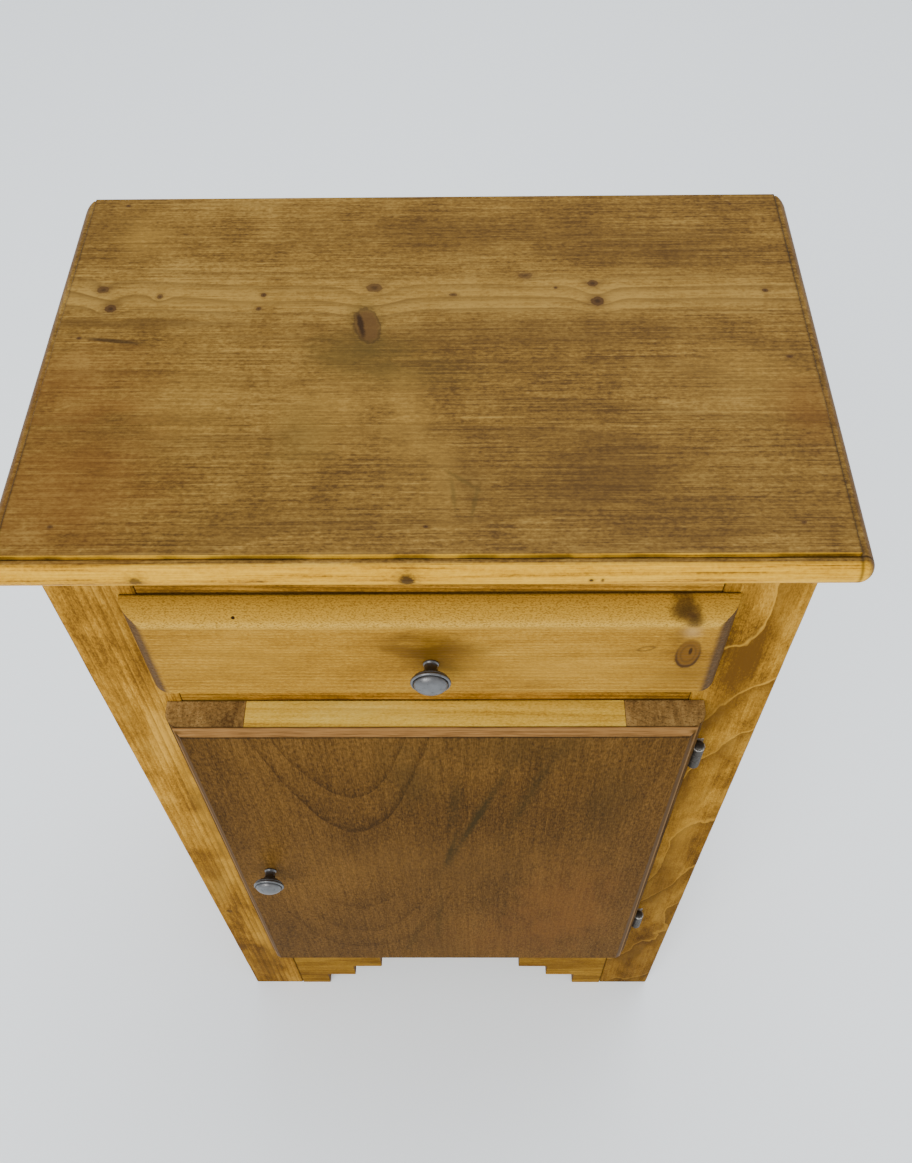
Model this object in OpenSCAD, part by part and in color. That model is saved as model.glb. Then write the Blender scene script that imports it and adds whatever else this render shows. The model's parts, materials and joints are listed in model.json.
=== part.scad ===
// Pine nightstand: one drawer over a cupboard with a skinned door, stepped apron and moulded top.
// X runs to the right, Y away from the viewer, Z up. The origin is on the floor, at the centre
// of the overall box. Every piece of the real cabinet is its own module and its own node.

/* [Overall] */
// Height from the floor to the top surface
total_h = 853; // [700:1:1030]
// Width across the outer faces of the two posts
carcass_w = 450; // [375:1:600]
// Depth from the front face of the posts to the outside of the back panel
carcass_d = 292; // [240:1:400]

/* [Top] */
// Thickness of the top boards
top_t = 22; // [18:0.5:30]
// Thickness of the rounded nose below the raised field
nose_t = 20; // [14:0.5:22]
// Distance from the edge of the top to the raised field
field_inset = 9; // [7:0.5:14]
// How far the top passes the posts at each side
top_side_over = 19; // [12:0.5:30]
// How far the top passes the posts at the front
top_front_over = 21; // [12:0.5:30]
// How far the top passes the back panel
top_back_over = 5; // [0:0.5:12]
// Width of the front board of the glued top, nose included
top_front_board_w = 104; // [70:1:130]
// Width of the back board of the glued top
top_back_board_w = 49; // [30:1:80]

/* [Front frame] */
// Thickness of posts, rails and apron
frame_t = 20; // [16:0.5:26]
// Width of each post
post_w = 54; // [42:0.5:66]
// Height of the rail under the top
top_rail_h = 42; // [34:0.5:54]
// Height of the drawer opening
drawer_open_h = 71; // [58:0.5:100]
// Height of the rail between drawer and door
middle_rail_h = 57.4; // [46:0.2:72]
// Height of the apron's upper edge above the floor
apron_h = 183; // [150:1:230]
// Height of the apron's dowels above its quarters
apron_dowel_lift = 10; // [0:1:20]
// Number of steps on each side of the apron
step_count = 3; // [1:1:4]
// Width of one step
step_run = 31.7; // [20:0.1:36]
// Height of one step
step_rise = 31; // [20:0.5:34]
// How far drawer front and door lap over the posts
side_lap = 10.5; // [8:0.5:14]
// How far drawer front and door lap over the rails
end_lap = 10; // [6:0.5:14]
// Square edge always left behind a rounded one
square_back = 1; // [0.5:0.1:3]
// Gap between the frame's face and what closes on it
closing_gap = 0.3; // [0.2:0.1:1]

/* [Carcass boards] */
// Thickness of the side boards
side_t = 18; // [14:0.1:22]
// Thickness of the plywood back
back_t = 5; // [3:0.5:9]
// Setback of the back panel's edges from the outside of the carcass
back_edge = 3; // [1:0.5:6]
// Thickness of the cupboard floor
floor_t = 18; // [14:0.5:24]
// Thickness of the shelf
shelf_t = 16; // [12:0.5:22]
// Setback of the shelf behind the frame
shelf_setback = 40; // [10:1:80]
// Play between the shelf and the boards round it
shelf_play = 0.5; // [0.2:0.1:2]
// Thickness and height of the cleats under floor, shelf and top
cleat_t = 20; // [14:0.5:26]
// Thickness of the two rails at the back
back_rail_t = 20; // [16:0.5:26]
// Height of the back rail under the top
back_top_rail_h = 40; // [30:1:60]
// Height of the back rail under the cupboard floor
back_low_rail_h = 60; // [30:1:80]

/* [Drawer] */
// Thickness of the overlaid drawer front
front_t = 15; // [12:0.5:20]
// Radius of the rounding on the front's top and sides
front_round = 14; // [6:0.5:14]
// Thickness of the drawer box boards
box_t = 12; // [9:0.5:15]
// Length of the drawer box
box_len = 250; // [200:1:255]
// Play between the drawer box and the guide on each side
box_side_play = 1.5; // [0.5:0.1:3]
// Space above the drawer box
box_head_play = 3.7; // [1:0.1:10]
// Clearance between the drawer box and its runners
box_run_play = 0.3; // [0.2:0.1:1]
// Thickness of the plywood drawer bottom
bottom_t = 4; // [3:0.5:6]
// Height of the groove for the drawer bottom above the box's lower edge
groove_h = 9; // [6:0.5:14]
// Depth of that groove
groove_d = 5; // [3:0.5:7]
// Clearance of the drawer bottom in its groove
groove_play = 0.2; // [0.1:0.05:0.5]
// Thickness of the runners and kickers
runner_t = 20; // [12:0.5:26]
// How far runners and kickers reach under and over the drawer sides
runner_reach = 19.5; // [10:0.5:30]
// Gap between a kicker and the cleat beside it
kicker_gap = 1; // [0.5:0.1:3]
// Height of the side guides
guide_h = 30; // [18:0.5:40]

/* [Door] */
// Thickness of the door's frame
door_t = 20; // [16:0.5:24]
// Width of the door's stiles and rails
stile_w = 54; // [40:0.5:66]
// Rounding of the door's outer edges
door_round = 12; // [4:0.5:14]
// Distance of the skin from the outer edges of the stiles
skin_inset = 6.5; // [3:0.5:12]
// Thickness of the plywood skin
skin_t = 5; // [3:0.5:8]
// Width of the bevel round the skin
skin_bevel = 5; // [2:0.5:8]
// Square edge left below the bevel
skin_lip = 1.5; // [0.5:0.1:2.5]
// Length of the door rails' tenons
tenon_len = 22; // [12:0.5:30]
// Thickness of the tenons
tenon_t = 7; // [5:0.5:9]
// Shoulder above and below a tenon
tenon_shoulder = 8; // [4:0.5:14]
// Clearance of a tenon in its mortise
tenon_play = 0.1; // [0.05:0.05:0.3]

/* [Knobs] */
// Diameter of the knob's disc
knob_d = 25; // [20:0.5:34]
// How far a knob stands out
knob_len = 20; // [16:0.5:28]
// Diameter of the knob's stem
knob_stem_d = 8; // [7:0.5:11]
// Diameter of the knob's foot
knob_foot_d = 13; // [11:0.5:18]
// Thickness of the knob's disc at its rim
knob_rim_t = 4; // [3:0.5:6]
// Height of the dome on the disc
knob_dome = 1.6; // [0.8:0.1:3]
// Thickness of the knob's foot, and of the taper above it
knob_foot_t = 1.6; // [1.2:0.1:3]
// How much narrower the taper is than the foot
knob_foot_step = 1; // [0.5:0.1:2]
// Height of the flare under the disc
knob_flare = 3.4; // [2:0.1:5]
// How much narrower the flare is than the disc
knob_disc_step = 4; // [2:0.1:6]
// Depth of the screw's bore in a knob
knob_bore = 11; // [8:0.5:13]
// Space left beyond the screw in that bore
knob_bore_play = 1; // [0.5:0.1:2]
// Distance of the drawer knob below the middle of the drawer front
drawer_knob_drop = 9; // [0:0.5:15]
// Distance of the door knob from the door's left edge
door_knob_inset = 36.5; // [25:0.5:40]
// Distance of the door knob above the middle of the door
door_knob_rise = 1; // [-40:1:40]

/* [Hinges] */
// Diameter of the hinge barrel
barrel_d = 9; // [7.5:0.1:11]
// Length of the hinge barrel
barrel_len = 28; // [24:0.5:40]
// Diameter of the hinge pin
pin_d = 4; // [3:0.1:5]
// Radial clearance of the pin in the knuckles
pin_play = 0.05; // [0.02:0.01:0.1]
// Gap between two knuckles
knuckle_gap = 0.3; // [0.1:0.05:0.6]
// Gap between the door's edge and the barrel
barrel_side_gap = 0.5; // [0.3:0.1:2]
// Gap between the barrel and the post's face
barrel_gap = 1; // [0.5:0.1:2]
// Thickness of a hinge leaf
leaf_t = 1.2; // [1:0.1:1.8]
// Distance from the opening to the edge of a hinge leaf
leaf_margin = 1.5; // [1:0.1:3]
// Distance of a leaf's screws from its ends
leaf_screw_inset = 6; // [4:0.5:8]
// Seam between a leaf's face and the face of the post
leaf_seam = 0.05; // [0.02:0.01:0.1]
// Reach of the fixed leaf past the pin's axis
post_neck = 3; // [2.6:0.1:4]
// Thickness of the swinging leaf where it meets its knuckle
door_neck = 2.4; // [1.8:0.1:3]
// Distance of that neck inside the barrel's edge
neck_inset = 0.3; // [0.2:0.1:0.8]
// Distance of the upper hinge's middle from the door's top
upper_hinge_drop = 71.6; // [50:0.2:120]
// Distance of the lower hinge's middle from the door's bottom
lower_hinge_rise = 65; // [50:0.5:120]
// Diameter of the pin's domed heads
pin_head_d = 8; // [6:0.5:10]
// Height of the pin's domed heads
pin_head_h = 2.4; // [1.5:0.1:4]

/* [Catch] */
// Width of the magnetic catch
catch_w = 12; // [9:0.5:16]
// Length of the magnetic catch
catch_len = 40; // [30:1:50]
// Thickness of the strike plate
strike_t = 1; // [0.8:0.1:1.5]
// Gap between catch and strike plate
catch_gap = 0.5; // [0.3:0.1:1]
// Distance of the catch from the back of the frame
catch_setback = 2; // [0:0.5:4]
// Shift of the strike plate towards the middle of the catch's free side
strike_shift = 1; // [0:0.5:2]

/* [Fixings] */
// Diameter of the dowels in the front frame
dowel_d = 8; // [6:0.5:10]
// Length of the dowels
dowel_len = 40; // [30:1:50]
// Diameter of the wood screws
screw_d = 4; // [3:0.1:5]
// Diameter of the wood screws' heads
screw_head_d = 8; // [6:0.1:9]
// Diameter of the small hinge and catch screws
small_screw_d = 2.4; // [2:0.1:3]
// Diameter of the small screws' heads
small_head_d = 4.4; // [3.6:0.1:5]
// Length of the small screws
small_screw_len = 12; // [9:0.5:15]
// Diameter of the nails
nail_d = 1.6; // [1.2:0.1:2.2]
// Length of the nails
nail_len = 22; // [16:1:30]
// Height of a nail's head
nail_head_t = 0.6; // [0.4:0.1:1]
// Height of the wood screws' countersunk heads
screw_cone_h = 3; // [2:0.1:4]
// Height of the small screws' countersunk heads
small_cone_h = 1; // [0.6:0.1:1.4]
// Height of the pan heads of the knob screws
pan_head_t = 2.4; // [1.6:0.1:4]
// How far the top's screws pass into the top boards
top_screw_bite = 14; // [8:0.5:15]
// How far the cleats' screws pass into the side boards
cleat_screw_bite = 12; // [8:0.5:13]
// Wood left in front of the points of the guides' screws
guide_screw_cover = 5; // [3:0.5:10]
// Wood left in front of the points of the drawer front's screws
front_screw_cover = 4; // [3:0.5:8]
// Distance of the screws from the ends of cleats and guides
screw_inset = 40; // [25:1:45]
// Clearance round every fixing
fixing_play = 0.05; // [0.03:0.01:0.1]

/* [Hidden] */
$fn = 48;
cut = 1;

ochre = [0.72, 0.53, 0.27];
olive = [0.59, 0.45, 0.24];
golden = [0.75, 0.57, 0.28];
umber = [0.47, 0.33, 0.16];
straw = [0.80, 0.65, 0.37];
pale = [0.82, 0.70, 0.48];
pewter = [0.62, 0.61, 0.58];
black_iron = [0.16, 0.14, 0.12];
zinc = [0.66, 0.66, 0.64];
brown_plastic = [0.27, 0.17, 0.10];

// heights
carcass_h = total_h - top_t;
drawer_open_top = carcass_h - top_rail_h;
drawer_open_bottom = drawer_open_top - drawer_open_h;
door_open_top = drawer_open_bottom - middle_rail_h;
door_open_bottom = apron_h;
door_top = door_open_top + end_lap;
door_bottom = door_open_bottom - end_lap;
front_top = drawer_open_top + end_lap;
front_bottom = drawer_open_bottom - end_lap;
shelf_z = (door_open_bottom + door_open_top) / 2 - shelf_t / 2;
low_rail_z = door_open_bottom - floor_t - back_low_rail_h;

// widths, as distances from the middle
carcass_x = carcass_w / 2;
inner_x = carcass_x - side_t;
opening_x = carcass_x - post_w;
lap_x = opening_x + side_lap;
box_x = opening_x - box_side_play;
cleat_x = inner_x - cleat_t;

// depths; face_y is the front face of posts and rails
front_reach = closing_gap + door_t + skin_t + knob_len;
face_y = (front_reach - carcass_d - top_back_over) / 2;
frame_back_y = face_y + frame_t;
panel_y = face_y + carcass_d - back_t;
back_rail_y = panel_y - back_rail_t;
shut_y = face_y - closing_gap;
top_front_y = face_y - top_front_over;
top_back_y = face_y + carcass_d + top_back_over;
top_joint_a = top_front_y + top_front_board_w;
top_joint_b = top_back_y - top_back_board_w;
top_x = carcass_x + top_side_over;

// drawer box
box_z = drawer_open_bottom + box_run_play;
box_h = drawer_open_h - box_run_play - box_head_play;
box_back_y = shut_y + box_len;
box_inner_x = box_x - box_t;
front_rounding = min(front_round, front_t - square_back);
drawer_knob_z = (front_top + front_bottom) / 2 - drawer_knob_drop;

// door
door_rounding = min(door_round, door_t - square_back);
door_front_y = shut_y - door_t;
skin_y = door_front_y - skin_t;
skin_x = lap_x - skin_inset;
stile_x = lap_x - stile_w;
door_knob_x = door_knob_inset - lap_x;
door_knob_z = (door_top + door_bottom) / 2 + door_knob_rise;

// hinges
hinge_x = lap_x + barrel_side_gap + barrel_d / 2;
hinge_y = face_y - barrel_gap - barrel_d / 2;
upper_hinge_z = door_top - upper_hinge_drop;
lower_hinge_z = door_bottom + lower_hinge_rise;
knuckle_len = (barrel_len - 2 * knuckle_gap) / 3;
leaf_inner_x = opening_x + leaf_margin;
leaf_screw_x = (leaf_inner_x + lap_x) / 2;
leaf_screw_dz = barrel_len / 2 - leaf_screw_inset;
neck_low_x = hinge_x - barrel_d / 2 + neck_inset;

// fixings: each is [diameter, head diameter, head height, length]
top_screw = [screw_d, screw_head_d, screw_cone_h, cleat_t + top_screw_bite];
cleat_screw = [screw_d, screw_head_d, screw_cone_h, cleat_t + cleat_screw_bite];
guide_screw = [screw_d, screw_head_d, screw_cone_h, carcass_x - opening_x - guide_screw_cover];
runner_screw = [screw_d, screw_head_d, screw_cone_h, runner_t + guide_h / 2];
front_screw = [screw_d, screw_head_d, screw_cone_h, box_t + front_t - front_screw_cover];
small_screw = [small_screw_d, small_head_d, small_cone_h, small_screw_len];
catch_screw = [small_screw_d, small_head_d, small_cone_h, small_screw_len + catch_w / 2];
nail = [nail_d, nail_d * 1.8, nail_head_t, nail_len];
front_screw_x = box_inner_x * 0.6;
apron_dowels_z = [for (part = [2, 3]) part * apron_h / 4 + apron_dowel_lift];

// catch
catch_z = door_knob_z;
catch_back_y = face_y + frame_t - catch_setback;
strike_x = catch_w / 2 - opening_x + strike_shift;

// ---- shared shapes ----

// a box given by its lowest and highest corner
module block(low, high) {
    translate(low) cube(high - low);
}

// a countersunk screw along +Z with the flat of its head at z = 0
module screw(size) {
    cylinder(h = size[2], d1 = size[1], d2 = size[0]);
    cylinder(h = size[3], d = size[0]);
}

// the hole that a screw leaves
module screw_hole(size) {
    play = 2 * fixing_play;
    translate([0, 0, -cut]) cylinder(h = cut, d = size[1] + play);
    cylinder(h = size[2], d1 = size[1] + play, d2 = size[0] + play);
    cylinder(h = size[3] + fixing_play, d = size[0] + play);
}

// either the screw or its hole
module fixing(size, hole) {
    if (hole) screw_hole(size);
    else screw(size);
}

// a board between the side boards' inner faces
module cross_board(front, back, z, t, play = 0) {
    block([play - inner_x, front, z], [inner_x - play, back, z + t]);
}

// a strip along one side; side is -1 for left and 1 for right
module side_strip(side, near_x, far_x, front, back, z, h) {
    block([min(side * near_x, side * far_x), front, z],
        [max(side * near_x, side * far_x), back, z + h]);
}

// ---- fixing layouts, used for the fixings and for their holes ----

module top_screw_set(hole) {
    for (side = [-1, 1], y = [frame_back_y + 2 * screw_inset, back_rail_y - 2 * screw_inset])
        translate([side * (inner_x - cleat_t / 2), y, carcass_h - cleat_t])
            fixing(top_screw, hole);
}

module cleat_screw_row(side, z, front, hole) {
    for (y = [front + screw_inset, back_rail_y - screw_inset])
        translate([side * cleat_x, y, z + cleat_t / 2])
            rotate([0, side * 90, 0])
                fixing(cleat_screw, hole);
}

module floor_cleat_screw_set(side, hole) {
    cleat_screw_row(side, door_open_bottom - floor_t - cleat_t, frame_back_y, hole);
}

module shelf_cleat_screw_set(side, hole) {
    cleat_screw_row(side, shelf_z - cleat_t, frame_back_y + shelf_setback, hole);
}

module top_cleat_screw_set(side, hole) {
    cleat_screw_row(side, carcass_h - cleat_t, frame_back_y, hole);
}

module guide_screw_set(side, hole) {
    for (y = [frame_back_y + screw_inset, back_rail_y - screw_inset])
        translate([side * opening_x, y, drawer_open_bottom + guide_h / 2])
            rotate([0, side * 90, 0])
                fixing(guide_screw, hole);
}

module runner_screw_set(side, hole) {
    for (y = [frame_back_y + 2 * screw_inset, back_rail_y - 2 * screw_inset])
        translate([side * (opening_x + inner_x) / 2, y, drawer_open_bottom - runner_t])
            fixing(runner_screw, hole);
}

// dowels from the ends of a rail into the posts
module rail_dowel_pair(heights, hole) {
    play = hole ? fixing_play : 0;
    for (side = [-1, 1], z = heights)
        translate([side * opening_x, face_y + frame_t / 2, z])
            rotate([0, 90, 0])
                cylinder(h = dowel_len + 2 * play, d = dowel_d + 2 * play, center = true);
}

module frame_dowel_set(hole) {
    rail_dowel_pair([drawer_open_top + top_rail_h / 2], hole);
    rail_dowel_pair([for (part = [1, 3]) door_open_top + part * middle_rail_h / 4], hole);
    rail_dowel_pair(apron_dowels_z, hole);
}

module back_nail_set(hole) {
    for (side = [-1, 1], part = [0 : 4])
        translate([side * (carcass_x - side_t / 2), face_y + carcass_d,
            low_rail_z + screw_inset + part * (carcass_h - low_rail_z - 2 * screw_inset) / 4])
            rotate([90, 0, 0])
                fixing(nail, hole);
}

module post_leaf_screw_set(hole) {
    for (mid = [upper_hinge_z, lower_hinge_z], dz = [-1, 1])
        translate([leaf_screw_x, face_y + leaf_seam, mid + dz * leaf_screw_dz])
            rotate([-90, 0, 0])
                fixing(small_screw, hole);
}

module door_leaf_screw_set(hole) {
    for (mid = [upper_hinge_z, lower_hinge_z], dz = [-1, 1])
        translate([leaf_screw_x, shut_y, mid + dz * leaf_screw_dz])
            rotate([90, 0, 0])
                fixing(small_screw, hole);
}

module strike_screw_set(hole) {
    translate([strike_x, shut_y, catch_z])
        rotate([90, 0, 0])
            fixing(small_screw, hole);
}

module catch_screw_set(hole) {
    for (dz = [-1, 1])
        translate([catch_w - opening_x, face_y + frame_t / 2, catch_z + dz * catch_len / 3])
            rotate([0, -90, 0])
                fixing(catch_screw, hole);
}

module drawer_nail_set(hole) {
    for (side = [-1, 1], y = [shut_y + box_t / 2, box_back_y - box_t / 2], part = [1, 3])
        translate([side * box_x, y, box_z + part * box_h / 4])
            rotate([0, -side * 90, 0])
                fixing(nail, hole);
}

module front_screw_set(hole) {
    for (side = [-1, 1])
        translate([side * front_screw_x, shut_y + box_t, box_z + box_h / 2])
            rotate([90, 0, 0])
                fixing(front_screw, hole);
}

// a pan-headed screw into the back of a knob; x, z place it, y is the inner face of the wood
module knob_screw_at(x, y, z, wood, hole) {
    play = hole ? fixing_play : 0;
    translate([x, y, z])
        rotate([90, 0, 0])
            translate([0, 0, -play])
                cylinder(h = wood + knob_bore - knob_bore_play + 2 * play, d = screw_d + 2 * play);
    if (!hole)
        translate([x, y + pan_head_t, z])
            rotate([90, 0, 0])
                cylinder(h = pan_head_t, d = screw_head_d);
}

// ---- top ----

// the whole moulded top: rounded nose on three edges and a raised field; the back is square
module moulded_top() {
    r = nose_t / 2;
    z = carcass_h + r;
    block([r - top_x, top_front_y + r, carcass_h], [top_x - r, top_back_y, carcass_h + nose_t]);
    block([field_inset - top_x, top_front_y + field_inset, carcass_h + r],
        [top_x - field_inset, top_back_y, total_h]);
    translate([r - top_x, top_front_y + r, z])
        rotate([0, 90, 0])
            cylinder(h = 2 * (top_x - r), r = r);
    for (side = [-1, 1]) {
        translate([side * (top_x - r), top_front_y + r, z]) sphere(r = r);
        translate([side * (top_x - r), top_front_y + r, z])
            rotate([-90, 0, 0])
                cylinder(h = top_back_y - top_front_y - r, r = r);
    }
}

module top_board(front, back) {
    difference() {
        intersection() {
            moulded_top();
            block([-top_x - cut, front, carcass_h - cut], [top_x + cut, back, total_h + cut]);
        }
        top_screw_set(true);
    }
}

module top_board_front() {
    color(olive) top_board(top_front_y - cut, top_joint_a);
}

module top_board_middle() {
    color(olive) top_board(top_joint_a, top_joint_b);
}

module top_board_back() {
    color(olive) top_board(top_joint_b, top_back_y + cut);
}

// ---- front frame ----

module post(side) {
    difference() {
        side_strip(side, opening_x, carcass_x, face_y, frame_back_y, 0, carcass_h);
        frame_dowel_set(true);
        if (side > 0) {
            for (mid = [upper_hinge_z, lower_hinge_z]) post_leaf_recess(mid);
            post_leaf_screw_set(true);
        } else {
            catch_screw_set(true);
        }
    }
}

module left_post() {
    color(ochre) post(-1);
}

module right_post() {
    color(ochre) post(1);
}

module frame_rail(z, h) {
    difference() {
        block([-opening_x, face_y, z], [opening_x, frame_back_y, z + h]);
        frame_dowel_set(true);
    }
}

module top_rail() {
    color(ochre) frame_rail(drawer_open_top, top_rail_h);
}

module middle_rail() {
    color(ochre) frame_rail(door_open_top, middle_rail_h);
}

// an apron whose lower edge climbs in steps from both posts to the middle
module stepped_apron() {
    left = [for (i = [0 : step_count - 1], k = [0, 1]) [(i + k) * step_run - opening_x, i * step_rise]];
    right = [for (i = [step_count - 1 : -1 : 0], k = [1, 0]) [opening_x - (i + k) * step_run, i * step_rise]];
    mid_z = step_count * step_rise;
    mid_x = opening_x - step_count * step_run;
    outline = concat([[-opening_x, apron_h]], left, [[-mid_x, mid_z], [mid_x, mid_z]], right,
        [[opening_x, apron_h]]);
    color(ochre)
        difference() {
            translate([0, frame_back_y, 0])
                rotate([90, 0, 0])
                    linear_extrude(height = frame_t)
                        polygon(outline);
            frame_dowel_set(true);
        }
}

module frame_dowels() {
    color(pale) frame_dowel_set(false);
}

// ---- carcass ----

module side_board(side) {
    difference() {
        side_strip(side, inner_x, carcass_x, frame_back_y, panel_y, 0, carcass_h);
        floor_cleat_screw_set(side, true);
        shelf_cleat_screw_set(side, true);
        top_cleat_screw_set(side, true);
        guide_screw_set(side, true);
        back_nail_set(true);
    }
}

module left_side_board() {
    color(ochre) side_board(-1);
}

module right_side_board() {
    color(ochre) side_board(1);
}

module back_panel() {
    color(straw)
        difference() {
            block([back_edge - carcass_x, panel_y, low_rail_z],
                [carcass_x - back_edge, panel_y + back_t, carcass_h]);
            back_nail_set(true);
        }
}

module back_top_rail() {
    color(straw) cross_board(back_rail_y, panel_y, carcass_h - back_top_rail_h, back_top_rail_h);
}

module back_low_rail() {
    color(straw) cross_board(back_rail_y, panel_y, low_rail_z, back_low_rail_h);
}

module cupboard_floor() {
    color(straw) cross_board(frame_back_y, panel_y, door_open_bottom - floor_t, floor_t);
}

module shelf() {
    color(straw)
        cross_board(frame_back_y + shelf_setback, panel_y - shelf_play, shelf_z, shelf_t, shelf_play);
}

module floor_cleat(side) {
    color(pale)
        difference() {
            side_strip(side, cleat_x, inner_x, frame_back_y, back_rail_y,
                door_open_bottom - floor_t - cleat_t, cleat_t);
            floor_cleat_screw_set(side, true);
        }
}

module left_floor_cleat() {
    floor_cleat(-1);
}

module right_floor_cleat() {
    floor_cleat(1);
}

module shelf_cleat(side) {
    color(pale)
        difference() {
            side_strip(side, cleat_x, inner_x, frame_back_y + shelf_setback, back_rail_y,
                shelf_z - cleat_t, cleat_t);
            shelf_cleat_screw_set(side, true);
        }
}

module left_shelf_cleat() {
    shelf_cleat(-1);
}

module right_shelf_cleat() {
    shelf_cleat(1);
}

module top_cleat(side) {
    color(pale)
        difference() {
            side_strip(side, cleat_x, inner_x, frame_back_y, back_rail_y,
                carcass_h - cleat_t, cleat_t);
            top_cleat_screw_set(side, true);
            top_screw_set(true);
        }
}

module left_top_cleat() {
    top_cleat(-1);
}

module right_top_cleat() {
    top_cleat(1);
}

module runner(side) {
    color(pale)
        difference() {
            side_strip(side, opening_x - runner_reach, inner_x, frame_back_y, panel_y,
                drawer_open_bottom - runner_t, runner_t);
            runner_screw_set(side, true);
        }
}

module left_runner() {
    runner(-1);
}

module right_runner() {
    runner(1);
}

module guide(side) {
    color(pale)
        difference() {
            side_strip(side, opening_x, inner_x, frame_back_y, panel_y, drawer_open_bottom, guide_h);
            guide_screw_set(side, true);
            runner_screw_set(side, true);
        }
}

module left_guide() {
    guide(-1);
}

module right_guide() {
    guide(1);
}

// a strip that keeps the open drawer from tipping; it runs from the top rail to the back rail
module kicker(side) {
    color(pale)
        side_strip(side, opening_x - runner_reach, cleat_x - kicker_gap, frame_back_y, back_rail_y,
            drawer_open_top, runner_t);
}

module left_kicker() {
    kicker(-1);
}

module right_kicker() {
    kicker(1);
}

module top_screws() {
    color(zinc) top_screw_set(false);
}

module cleat_screws() {
    color(zinc)
        for (side = [-1, 1]) {
            floor_cleat_screw_set(side, false);
            shelf_cleat_screw_set(side, false);
            top_cleat_screw_set(side, false);
        }
}

module runner_screws() {
    color(zinc)
        for (side = [-1, 1]) {
            guide_screw_set(side, false);
            runner_screw_set(side, false);
        }
}

module back_nails() {
    color(zinc) back_nail_set(false);
}

// ---- hinges ----

// shallow recess in the post for the fixed leaf
module post_leaf_recess(mid) {
    block([leaf_inner_x - fixing_play, face_y - cut, mid - barrel_len / 2 - fixing_play],
        [hinge_x + post_neck + fixing_play, face_y + leaf_t + leaf_seam + fixing_play,
            mid + barrel_len / 2 + fixing_play]);
}

// shallow recess in the back of the door for the swinging leaf
module door_leaf_recess(mid) {
    block([leaf_inner_x - fixing_play, shut_y - leaf_t - fixing_play,
            mid - barrel_len / 2 - fixing_play],
        [lap_x + cut, shut_y + cut, mid + barrel_len / 2 + fixing_play]);
}

module knuckle(z) {
    translate([hinge_x, hinge_y, z]) cylinder(h = knuckle_len, d = barrel_d);
}

module knuckle_bore(mid) {
    translate([hinge_x, hinge_y, mid - barrel_len / 2 - cut])
        cylinder(h = barrel_len + 2 * cut, r = pin_d / 2 + pin_play);
}

// fixed leaf: a plate in the post and the two outer knuckles
module post_leaf(mid) {
    low = mid - barrel_len / 2;
    color(black_iron)
        difference() {
            union() {
                block([leaf_inner_x, face_y + leaf_seam, low],
                    [hinge_x + post_neck, face_y + leaf_seam + leaf_t, low + barrel_len]);
                for (z = [low, low + barrel_len - knuckle_len]) {
                    knuckle(z);
                    block([hinge_x - post_neck / 2, hinge_y, z],
                        [hinge_x + post_neck, face_y + leaf_seam + leaf_t, z + knuckle_len]);
                }
            }
            knuckle_bore(mid);
            post_leaf_screw_set(true);
        }
}

// swinging leaf: a plate in the back of the door and the middle knuckle
module door_leaf(mid) {
    low = mid - barrel_len / 2;
    neck_z = mid - knuckle_len / 2;
    color(black_iron)
        difference() {
            union() {
                block([leaf_inner_x, shut_y - leaf_t, low], [lap_x, shut_y, low + barrel_len]);
                knuckle(neck_z);
                block([lap_x - cut, shut_y - leaf_t, neck_z], [hinge_x, shut_y, neck_z + knuckle_len]);
                block([neck_low_x, shut_y - door_neck, neck_z],
                    [hinge_x, shut_y, neck_z + knuckle_len]);
            }
            knuckle_bore(mid);
            door_leaf_screw_set(true);
        }
}

module upper_hinge_post_leaf() {
    post_leaf(upper_hinge_z);
}

module lower_hinge_post_leaf() {
    post_leaf(lower_hinge_z);
}

module upper_hinge_door_leaf() {
    door_leaf(upper_hinge_z);
}

module lower_hinge_door_leaf() {
    door_leaf(lower_hinge_z);
}

// a pin with a domed head above and below the barrel
module hinge_pin(mid) {
    dome_r = (pow(pin_head_d / 2, 2) + pow(pin_head_h, 2)) / (2 * pin_head_h);
    color(black_iron)
        translate([hinge_x, hinge_y, mid]) {
            cylinder(h = barrel_len, d = pin_d, center = true);
            for (turn = [0, 180])
                rotate([turn, 0, 0])
                    translate([0, 0, barrel_len / 2])
                        intersection() {
                            translate([0, 0, pin_head_h - dome_r]) sphere(r = dome_r);
                            cylinder(h = pin_head_h, d = pin_head_d + cut);
                        }
        }
}

module upper_hinge_pin() {
    hinge_pin(upper_hinge_z);
}

module lower_hinge_pin() {
    hinge_pin(lower_hinge_z);
}

module post_leaf_screws() {
    color(black_iron) post_leaf_screw_set(false);
}

module door_leaf_screws() {
    color(black_iron) {
        door_leaf_screw_set(false);
        strike_screw_set(false);
    }
}

// ---- catch ----

module door_catch() {
    color(brown_plastic)
        difference() {
            block([-opening_x, shut_y + strike_t + catch_gap, catch_z - catch_len / 2],
                [catch_w - opening_x, catch_back_y, catch_z + catch_len / 2]);
            catch_screw_set(true);
        }
}

module catch_screws() {
    color(zinc) catch_screw_set(false);
}

module strike_plate() {
    color(zinc)
        difference() {
            block([strike_x - catch_w / 2, shut_y, catch_z - catch_len / 3],
                [strike_x + catch_w / 2, shut_y + strike_t, catch_z + catch_len / 3]);
            translate([strike_x, shut_y, catch_z])
                rotate([90, 0, 0])
                    translate([0, 0, -strike_t - cut])
                        cylinder(h = strike_t + 2 * cut, d = small_head_d + 2 * fixing_play);
        }
}

// ---- drawer ----

// section of a board whose front edge is rounded; x is across and y towards the back
module rounded_bar(half, t, r, both) {
    difference() {
        translate([-half, -t]) square([2 * half, t]);
        for (side = both ? [-1, 1] : [1])
            translate([side * (half - r), r - t])
                difference() {
                    translate([side > 0 ? 0 : -r - cut, -r - cut]) square([r + cut, r + cut]);
                    circle(r = r);
                }
    }
}

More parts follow.
